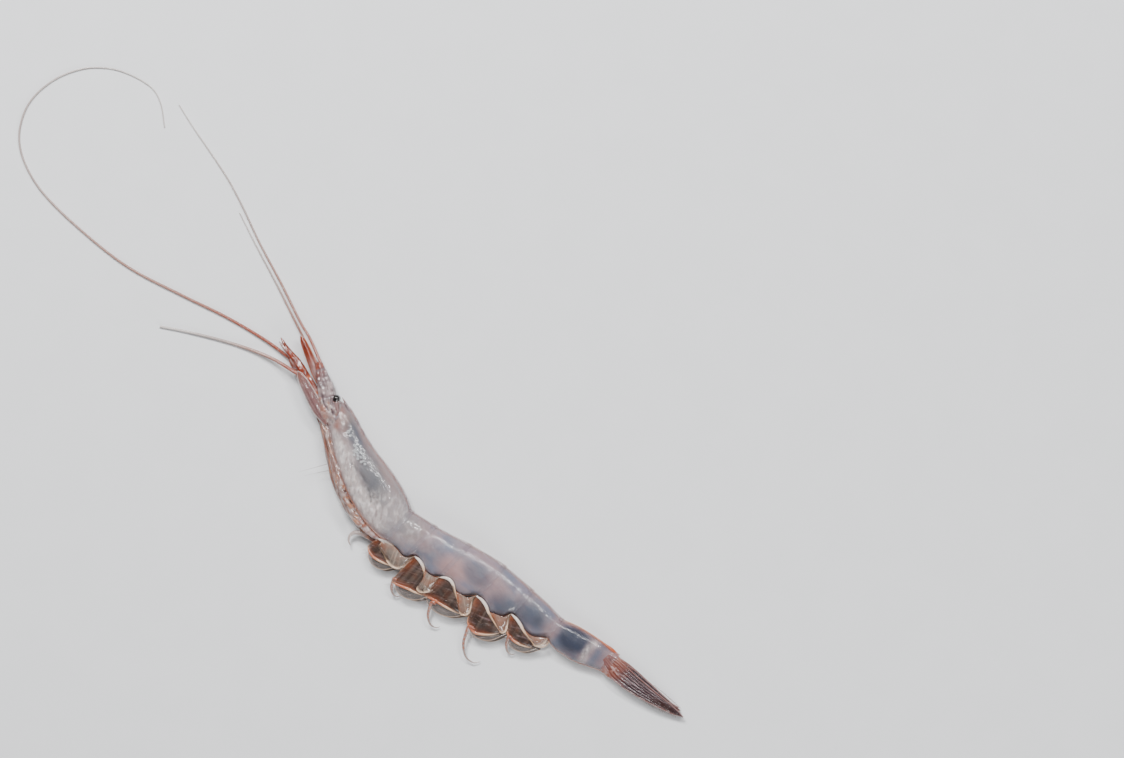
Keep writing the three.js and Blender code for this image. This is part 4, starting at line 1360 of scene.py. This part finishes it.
# %% Start and end of every node tree
def new_tree(name, lengths, shares=(), counts=()):
    """A geometry tree with an input for each length in mm, share, count and the finish."""
    tree = bpy.data.node_groups.new(name, "GeometryNodeTree")
    tree.interface.new_socket("Geometry", in_out="INPUT", socket_type="NodeSocketGeometry")
    sizes = [(label, "NodeSocketFloat", value * MM) for label, value in lengths]
    sizes += [(label, "NodeSocketFloat", value) for label, value in shares]
    sizes += [(label, "NodeSocketInt", value) for label, value in counts]
    for label, kind, value in sizes:
        tree.interface.new_socket(label, in_out="INPUT", socket_type=kind).default_value = value
    tree.interface.new_socket("Finish", in_out="INPUT", socket_type="NodeSocketMaterial")
    tree.interface.new_socket("Geometry", in_out="OUTPUT", socket_type="NodeSocketGeometry")
    return tree, add(tree, "NodeGroupInput").outputs


def end_tree(tree, geometry, finish, smooth=True):
    """Makes instances real, gives them their finish and hands them to the output."""
    if smooth:
        geometry = add(tree, "GeometryNodeSetShadeSmooth", {"Geometry": geometry}).outputs[0]
    real = add(tree, "GeometryNodeRealizeInstances", {"Geometry": geometry})
    dressed = add(tree, "GeometryNodeSetMaterial", {"Geometry": real.outputs[0], "Material": finish})
    add(tree, "NodeGroupOutput", {"Geometry": dressed.outputs[0]})


# %% Whisker node tree
RINGS_PER_BEAT = 3.0  # every third ring is the widest, and the two after it are narrower


def whisker_tree():
    tree, given = new_tree("ringed_whisker", [("Root Thickness", 0.45), ("Tip Thickness", 0.16)],
                           counts=[("Rings", 300)])
    curve = add(tree, "GeometryNodeMeshToCurve", {"Mesh": given["Geometry"]})
    even = add(tree, "GeometryNodeResampleCurve", {"Curve": curve.outputs[0], "Count": given["Rings"]})
    spline = add(tree, "GeometryNodeSplineParameter").outputs
    size = add(tree, "ShaderNodeMapRange", {
        "Value": spline["Factor"], "To Min": given["Root Thickness"], "To Max": given["Tip Thickness"],
    })
    beat = add(tree, "ShaderNodeMath", {0: spline["Index"], 1: RINGS_PER_BEAT}, operation="MODULO")
    knot = add(tree, "ShaderNodeMapRange", {
        "Value": beat.outputs[0], "From Max": RINGS_PER_BEAT - 1, "To Min": 1.0, "To Max": 0.93,
    })
    ring = add(tree, "GeometryNodeCurvePrimitiveCircle", {"Resolution": 8, "Radius": 0.5})
    kept = add(tree, "GeometryNodeStoreNamedAttribute", {
        "Geometry": even.outputs[0], "Name": "along", "Value": spline["Factor"],
    })
    tube = add(tree, "GeometryNodeCurveToMesh", {
        "Curve": kept.outputs[0], "Profile Curve": ring.outputs[0], "Fill Caps": True,
        "Scale": times(tree, size.outputs[0], knot.outputs[0]),
    })
    end_tree(tree, tube.outputs[0], given["Finish"])
    return tree


# %% Draw lines and grow a tree on them
def line_object(name, routes):
    """An edge-only mesh along one or more routes, for a node tree to sweep or scatter on."""
    edges, first = [], 0
    for route in routes:
        edges += [(first + i, first + i + 1) for i in range(len(route) - 1)]
        first += len(route)
    return mesh_of(name, np.concatenate(routes), edges, [])


def grown(piece, tree, **sizes):
    """Runs a node tree on a piece with named sizes and keeps its result as a plain mesh."""
    worker = piece.modifiers.new(tree.name, "NODES")
    worker.node_group = tree
    sockets = {item.name: item.identifier for item in tree.interface.items_tree if item.item_type == "SOCKET"}
    for name, value in sizes.items():
        worker[sockets[name.replace("_", " ")]] = value
    bpy.context.view_layer.update()
    evaluated = piece.evaluated_get(bpy.context.evaluated_depsgraph_get())
    mesh = bpy.data.meshes.new_from_object(evaluated)
    piece.modifiers.remove(worker)
    piece.data = mesh
    return piece


# %% [markdown]
# ### Where each whisker runs
#
# Each route starts at its stalk and settles on the table within a few millimetres. The long one
# swings round in a wide loop ahead of the head. The routes repeat those of the four solids.

# %% Whiskers
WHISKERS = [  # name, socket height, settling length, root and tip thickness, route
    ("antenna_long", 0.55, 0.12, 0.44, 0.16, [
        (-10.95, -0.97), (-14.1, -1.3), (-20, -2.6), (-25.9, -4.4), (-33.4, -6.5), (-40.3, -7.2),
        (-47.9, -7.1), (-52.5, -5.8), (-55.4, -3.6), (-57.1, 0), (-56.9, 4.1), (-55.2, 7.8),
        (-52.8, 10.2), (-50.2, 11.5), (-47, 12.15), (-44.9, 11.5), (-42.4, 9.6)]),
    ("antenna_short", 1.8, 0.5, 0.5, 0.32, [
        (-9.1, -1.76), (-12, -2.4), (-15.2, -3.6), (-19.1, -5.5), (-22.8, -7.6), (-25.5, -9.3)]),
    ("antennule_outer", 2.3, 0.4, 0.4, 0.16, [
        (-7.35, 1.42), (-10.6, 2.75), (-12.6, 3.3), (-17.8, 5.2), (-23.4, 7.1), (-28.2, 9), (-32, 10.3),
        (-36.6, 11.4), (-39.8, 12.1), (-43, 12.95)]),
    ("antennule_inner", 0.7, 0.4, 0.38, 0.16, [
        (-7.4, 0.85), (-11, 2.1), (-13.8, 3.1), (-18.4, 4.8), (-23.5, 6.55), (-28, 8.2)]),
]


def whisker_finish():
    surface = {"Roughness": 0.32, "IOR": CHITIN_IOR, "Coat Weight": 0.4, "Coat Roughness": 0.08}
    material, tree, shader = new_finish("whisker", surface)
    along = read_mark(tree, "along")
    rings = pattern(tree, 0.3, 2.0, seed=4.0)
    steps = [
        (contrast(tree, along, 0.04, 0.3), colour("#9C7468")),
        (contrast(tree, along, 0.3, 0.62), colour("#A79893")),
        (contrast(tree, along, 0.6, 0.95), colour("#C2BAB6")),
        (contrast(tree, rings, 0.55, 0.75, 0.3), colour("#D8CDC6")),
    ]
    tree.links.new(blend_colours(tree, steps, colour("#8E3F28")), shader.inputs["Base Color"])
    return material


WHISKER = whisker_finish()
WHISKER_TREE = whisker_tree()


RING_STEP = 0.11  # mm
HELD_LENGTH = 0.6  # mm of each whisker inside its socket


def whisker(name, socket, settles, root, tip, route):
    (x0, y0), (x1, y1) = route[:2]
    back = HELD_LENGTH / math.hypot(x1 - x0, y1 - y0)
    inside = [(x0 - (x1 - x0) * back, y0 - (y1 - y0) * back)]
    flat = path_through([(x, y, 0) for x, y in inside + route], 400)
    run = np.linspace(0, 1, 400)
    lying = (root + (tip - root) * run) / 2 + 0.02
    flat[:, 2] = lying + (socket - lying) * np.clip(1 - run / settles, 0, None) ** 2
    length = np.sum(np.linalg.norm(np.diff(flat, axis=0), axis=1))
    piece = line_object(name + "_hair", [flat])
    return grown(piece, WHISKER_TREE, Root_Thickness=root * MM, Tip_Thickness=tip * MM,
                 Rings=int(length / RING_STEP), Finish=WHISKER)


whiskers = {given[0]: whisker(*given) for given in WHISKERS}
print("whisker faces:", {name: len(piece.data.polygons) for name, piece in whiskers.items()})

# %% [markdown]
# ## Bubbles and grains
#
# A few tiny air bubbles are caught under the shell over the stomach, and pale grains of fat and
# gill lie under the lower flank. Both are small round bodies scattered on a skin, so one Geometry
# Nodes tree drops beads on a patch of the body, each set on the skin and sized at random from a fixed seed.

# %% Scatter node tree
MOST_BEADS = 6e7  # per square metre, where the chance is 1


def scatter_tree():
    tree, given = new_tree("beads_on_a_skin", [("Spacing", 0.2), ("Smallest", 0.1), ("Largest", 0.3)],
                           [("Flatness", 0.6)], [("Roundness", 8), ("Seed", 3)])
    chance = add(tree, "GeometryNodeInputNamedAttribute", {"Name": "chance"}, data_type="FLOAT").outputs[0]
    dots = add(tree, "GeometryNodeDistributePointsOnFaces", {
        "Mesh": given["Geometry"], "Distance Min": given["Spacing"], "Density Max": MOST_BEADS,
        "Density Factor": chance, "Seed": given["Seed"],
    }, distribute_method="POISSON")
    bead = add(tree, "GeometryNodeMeshUVSphere", {
        "Segments": given["Roundness"], "Rings": times(tree, given["Roundness"], 0.75), "Radius": 0.5,
    })
    size = add(tree, "FunctionNodeRandomValue", {"Seed": given["Seed"]}, data_type="FLOAT")
    tree.links.new(given["Smallest"], size.inputs[2])
    tree.links.new(given["Largest"], size.inputs[3])
    across = size.outputs[1]
    flat = times(tree, across, given["Flatness"])
    shape = add(tree, "ShaderNodeCombineXYZ", {"X": across, "Y": across, "Z": flat})
    placed = add(tree, "GeometryNodeInstanceOnPoints", {
        "Points": dots.outputs["Points"], "Instance": bead.outputs["Mesh"],
        "Rotation": dots.outputs["Rotation"], "Scale": shape.outputs[0],
    })
    end_tree(tree, placed.outputs[0], given["Finish"])
    return tree


# %% A patch of skin to scatter on
def skin_patch(name, x_range, turn_range, proud, chance):
    """A patch of the body's upper skin, with a chance from 0 to 1 of a bead at each point."""
    rows, columns = 60, 40
    turns = np.linspace(*turn_range, columns)
    corners = body_at(np.linspace(*x_range, rows)[:, None], turns[None, :], proud).reshape(-1, 3)
    piece = mesh_of(name, corners, [], grid_faces(rows, columns, wrap=False))
    if piece.data.polygons[0].normal.z < 0:
        piece.data.flip_normals()
    mark(piece, "chance", chance(corners))
    return piece


# %% Bubbles and grains
def bubble_finish():
    surface = {"Roughness": 0.05, "IOR": 1.45, "Coat Weight": 1.0, "Coat Roughness": 0.02}
    material, tree, shader = new_finish("air_bubble", surface)
    # painted reflection: each bubble turns more opaque and near white towards its rim, as the light's
    # reflection would look
    ring_reflection = add(tree, "ShaderNodeLayerWeight", {"Blend": 0.45}).outputs["Facing"]
    thick = add(tree, "ShaderNodeMapRange", {"Value": ring_reflection, "To Min": 0.2, "To Max": 0.95})
    tree.links.new(thick.outputs[0], shader.inputs["Alpha"])
    # the near-white tone of the bubbles is a painted reflection of the light
    tone = blend_colours(tree, [(pattern(tree, 0.2, 2.0), colour("#F6F8F8"))], colour("#D8DDDF"))
    tree.links.new(tone, shader.inputs["Base Color"])
    return material


SCATTER = scatter_tree()
GRAIN = clear_chitin("pale_grain", "#C9BBB3", "#C9BBB3", 0.85, 0.95, 0.2)
BUBBLE = bubble_finish()


def bubble_chance(p):
    return 1.4 * spot(p, (4.3, -3.5), (1.9, 0.95), -30) + 0.5 * spot(p, (1.6, -2.3), (1.3, 0.6), -38)


def grain_chance(p):
    return 0.9 * spots(p, MILK_SPOTS) * np.clip(noise_at(p, 1.2, 2.0) + 0.25, 0, 1)


bubble_skin = skin_patch("air_bubbles", (1.2, 6.4), (0.35, 1.7), 0.1, bubble_chance)
bubbles = grown(bubble_skin, SCATTER, Spacing=0.34 * MM, Smallest=0.24 * MM, Largest=0.48 * MM, Flatness=0.65,
                Roundness=14, Seed=5, Finish=BUBBLE)
grain_skin = skin_patch("pale_grains", (-1.5, 14.5), (0.9, 2.75), -0.1, grain_chance)
grains = grown(grain_skin, SCATTER, Spacing=0.11 * MM, Smallest=0.05 * MM, Largest=0.16 * MM, Flatness=0.45,
               Roundness=6, Seed=8, Finish=GRAIN)
print("bubble faces:", len(bubbles.data.polygons), "grain faces:", len(grains.data.polygons))

# %% [markdown]
# ## Fringes of fine hairs
#
# Swimming blades, scales and the tail fan are edged with soft hairs that catch water. They stand in
# a row, all leaning the same way but no two alike, so a tree plants a thin spike at even steps on
# each edge line, turns it outwards and shakes its angle and length from a fixed seed.

# %% Fringe node tree
SHORTEST_HAIR = 0.55  # share of the full length
EDGE_POINTS = 60


def fringe_tree():
    tree, given = new_tree("fringe_of_hairs", [("Spacing", 0.15), ("Length", 0.5), ("Thickness", 0.04)],
                           [("Unruly", 0.25)], [("Seed", 2)])
    curve = add(tree, "GeometryNodeMeshToCurve", {"Mesh": given["Geometry"]})
    roots = add(tree, "GeometryNodeCurveToPoints", {
        "Curve": curve.outputs[0], "Length": given["Spacing"],
    }, mode="LENGTH")
    outward = add(tree, "GeometryNodeInputNamedAttribute", {"Name": "outward"}, data_type="FLOAT_VECTOR")
    shake = add(tree, "FunctionNodeRandomValue", {
        0: (-1.0, -1.0, -0.6), 1: (1.0, 1.0, 0.6), "Seed": given["Seed"],
    }, data_type="FLOAT_VECTOR")
    stray = add(tree, "ShaderNodeVectorMath", {
        0: shake.outputs[0], "Scale": given["Unruly"],
    }, operation="SCALE")
    way = add(tree, "ShaderNodeVectorMath", {0: outward.outputs[0], 1: stray.outputs[0]}, operation="ADD")
    facing = add(tree, "FunctionNodeAlignRotationToVector", {"Vector": way.outputs[0]}, axis="Z")
    hair = add(tree, "GeometryNodeMeshCone", {
        "Vertices": 5, "Radius Top": 0.1, "Radius Bottom": 0.5, "Depth": 1.0,
    })
    reach = add(tree, "FunctionNodeRandomValue", {2: SHORTEST_HAIR, "Seed": 7}, data_type="FLOAT")
    shape = add(tree, "ShaderNodeCombineXYZ", {
        "X": given["Thickness"], "Y": given["Thickness"], "Z": times(tree, reach.outputs[1], given["Length"]),
    })
    placed = add(tree, "GeometryNodeInstanceOnPoints", {
        "Points": roots.outputs[0], "Instance": hair.outputs["Mesh"], "Rotation": facing.outputs[0],
        "Scale": shape.outputs[0],
    })
    end_tree(tree, placed.outputs[0], given["Finish"], smooth=False)
    return tree


# %% Grow a fringe
def fringe(name, edges, spacing, length, thickness, unruly, seed, finish):
    """Hairs along edge lines, each line given with the direction that its hairs point."""
    piece = line_object(name, [path_through(points, EDGE_POINTS) for points, _ in edges])
    ways = np.array([way for _, way in edges])
    out = np.repeat(ways / np.linalg.norm(ways, axis=1)[:, None], EDGE_POINTS, 0)
    store = piece.data.attributes.new("outward", "FLOAT_VECTOR", "POINT")
    store.data.foreach_set("vector", out.ravel())
    return grown(piece, FRINGE, Spacing=spacing * MM, Length=length * MM, Thickness=thickness * MM,
                 Unruly=unruly, Seed=seed, Finish=finish)


FRINGE = fringe_tree()
HAIR = clear_chitin("fine_hair", "#8C7B76", "#8C7B76", 0.75, 0.9, 0.3)

# %% Fringes
blade_edges = []
for hem in ORANGE_EDGES:
    for flank, height in (("upper", 1.45), ("lower", 0.15)):
        line = [(x + 0.1, y - 0.5, height) for x, y in shifted(hem, flank)[:-1]]
        blade_edges.append((line, (-0.5, -0.8, -0.05)))
blade_hairs = fringe("blade_hairs", blade_edges, 0.14, 0.75, 0.035, 0.3, 4, HAIR)
fan_edges = [
    ([(48.0, -2.4, 1.3), (50.5, -2.0, 1.25), (53.5, -1.45, 1.1), (56.2, -0.45, 0.8)], (0.8, -0.55, 0.0)),
    ([(51.5, 0.4, 0.75), (54.0, 0.52, 0.65), (55.9, 0.55, 0.5)], (0.95, 0.35, 0.0)),
    ([(56.2, -0.3, 0.8), (56.9, 0.0, 0.7)], (0.95, -0.1, 0.0)),
    ([(48.0, -2.4, 0.3), (50.5, -2.0, 0.3), (53.5, -1.5, 0.25), (56.0, -0.5, 0.2)], (0.8, -0.55, 0.0)),
]
fan_hairs = fringe("fan_hairs", fan_edges, 0.09, 0.5, 0.035, 0.15, 6, HAIR)
leg_edges = [([(*at, 1.2) for at in BUNDLE[10:170:8]], (-0.6, -0.75, 0.0))]
leg_hairs = fringe("leg_hairs", leg_edges, 0.3, 0.75, 0.04, 0.5, 9, HAIR)
loose_edges = [([(2.2, -7.2, 1.2), (2.9, -7.7, 1.2)], (-0.55, -0.84, 0.0))]
loose_hairs = fringe("loose_hairs", loose_edges, 0.7, 4.5, 0.07, 0.08, 3, HAIR)
hairs = [blade_hairs, fan_hairs, leg_hairs, loose_hairs]
print("hair faces:", sum(len(piece.data.polygons) for piece in hairs))

# %% [markdown]
# ## The table, the light and the camera
#
# A plain pale table and six soft lights. A large key light and a wide fill light come from the
# head's side. A strip and a small spark light draw the crisp wet highlights, a high one lays a faint
# sheen on the flank, and a low one from the tail brightens the rims. The camera looks straight down.

# %% Table
TABLE_HALF = 1.5  # m


def table():
    mesh = bpy.data.meshes.new("table")
    corners = [(x * TABLE_HALF, y * TABLE_HALF, 0.0) for x, y in ((-1, -1), (1, -1), (1, 1), (-1, 1))]
    mesh.from_pydata(corners, [], [(0, 1, 2, 3)])
    material, tree, shader = new_finish("pale_table", {"Roughness": 0.75})
    grain = contrast(tree, pattern(tree, 6.0, 4.0), 0.3, 0.7, 0.5)
    tone = blend_colours(tree, [(grain, colour("#E4E5E7"))], colour("#E8E9EB"))
    tree.links.new(tone, shader.inputs["Base Color"])
    mesh.materials.append(material)
    return in_scene("table", mesh)


floor = table()
print("table width, m:", 2 * TABLE_HALF)

# %% Camera
VIEW_HEIGHT = 0.5  # m
FRAME_WIDTH = 0.1432  # m of table across the view
SENSOR = 36.0  # mm
MIDDLE = Vector((0.0165, 0.0213, 0.0))
RIGHT = Vector((0.7296, 0.684, 0.0))  # the way from the left of the view to its right

camera_data = bpy.data.cameras.new("camera")
camera_data.sensor_width = SENSOR
camera_data.lens = SENSOR * VIEW_HEIGHT / FRAME_WIDTH
camera_data.clip_start = 0.01
camera = in_scene("camera", camera_data)
camera.rotation_euler = (0, 0, math.atan2(RIGHT.y, RIGHT.x))
camera.location = MIDDLE + Vector((0, 0, VIEW_HEIGHT))
bpy.context.scene.camera = camera
print("lens, mm:", round(camera_data.lens, 1))

# %% Lights
LIT_POINT = Vector((0.01, -0.002, 0.0))
LIGHTS = [  # name, watts, width and length in m, azimuth, elevation, distance in m
    ("key_light", 3.0, (0.16, 0.1), 150, 50, 0.5),
    ("wide_light", 0.4, (0.4, 0.3), 165, 35, 0.5),
    ("strip_light", 1.2, (0.3, 0.035), 98, 50, 0.5),
    ("spark_light", 0.35, (0.05, 0.05), 165, 62, 0.5),
    ("sheen_light", 0.25, (0.3, 0.3), 75, 72, 0.6),
    ("rim_light", 1.3, (0.25, 0.15), -20, 24, 0.45),
]
SURROUNDINGS = {"Color": (0.9, 0.95, 1.0, 1.0), "Strength": 0.12}


def soft_light(name, power, size, azimuth, elevation, distance):
    lamp = bpy.data.lights.new(name, "AREA")
    lamp.shape = "RECTANGLE"
    lamp.size, lamp.size_y = size
    lamp.energy = power
    a, e = math.radians(azimuth), math.radians(elevation)
    away = Vector((math.cos(a) * math.cos(e), math.sin(a) * math.cos(e), math.sin(e)))
    holder = in_scene(name, lamp)
    holder.location = LIT_POINT + away * distance
    holder.rotation_euler = away.to_track_quat("Z", "Y").to_euler()


for light in LIGHTS:
    soft_light(*light)
world = bpy.data.worlds.new("studio")
world.use_nodes = True
for socket, value in SURROUNDINGS.items():
    world.node_tree.nodes["Background"].inputs[socket].default_value = value
bpy.context.scene.world = world
print("lights:", len(LIGHTS))

# %% [markdown]
# ## Hand over
#
# Everything rides on the frame's one body. The flesh stands for the body solid, and each whisker
# for its own.

# %% Riding and replacing
for piece in [flesh, bubbles, grains] + plates + fan + swimming + legs + head + hairs:
    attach(piece, "root")
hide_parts("shrimp_body")
for name, piece in whiskers.items():
    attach(piece, "root")
    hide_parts(name)
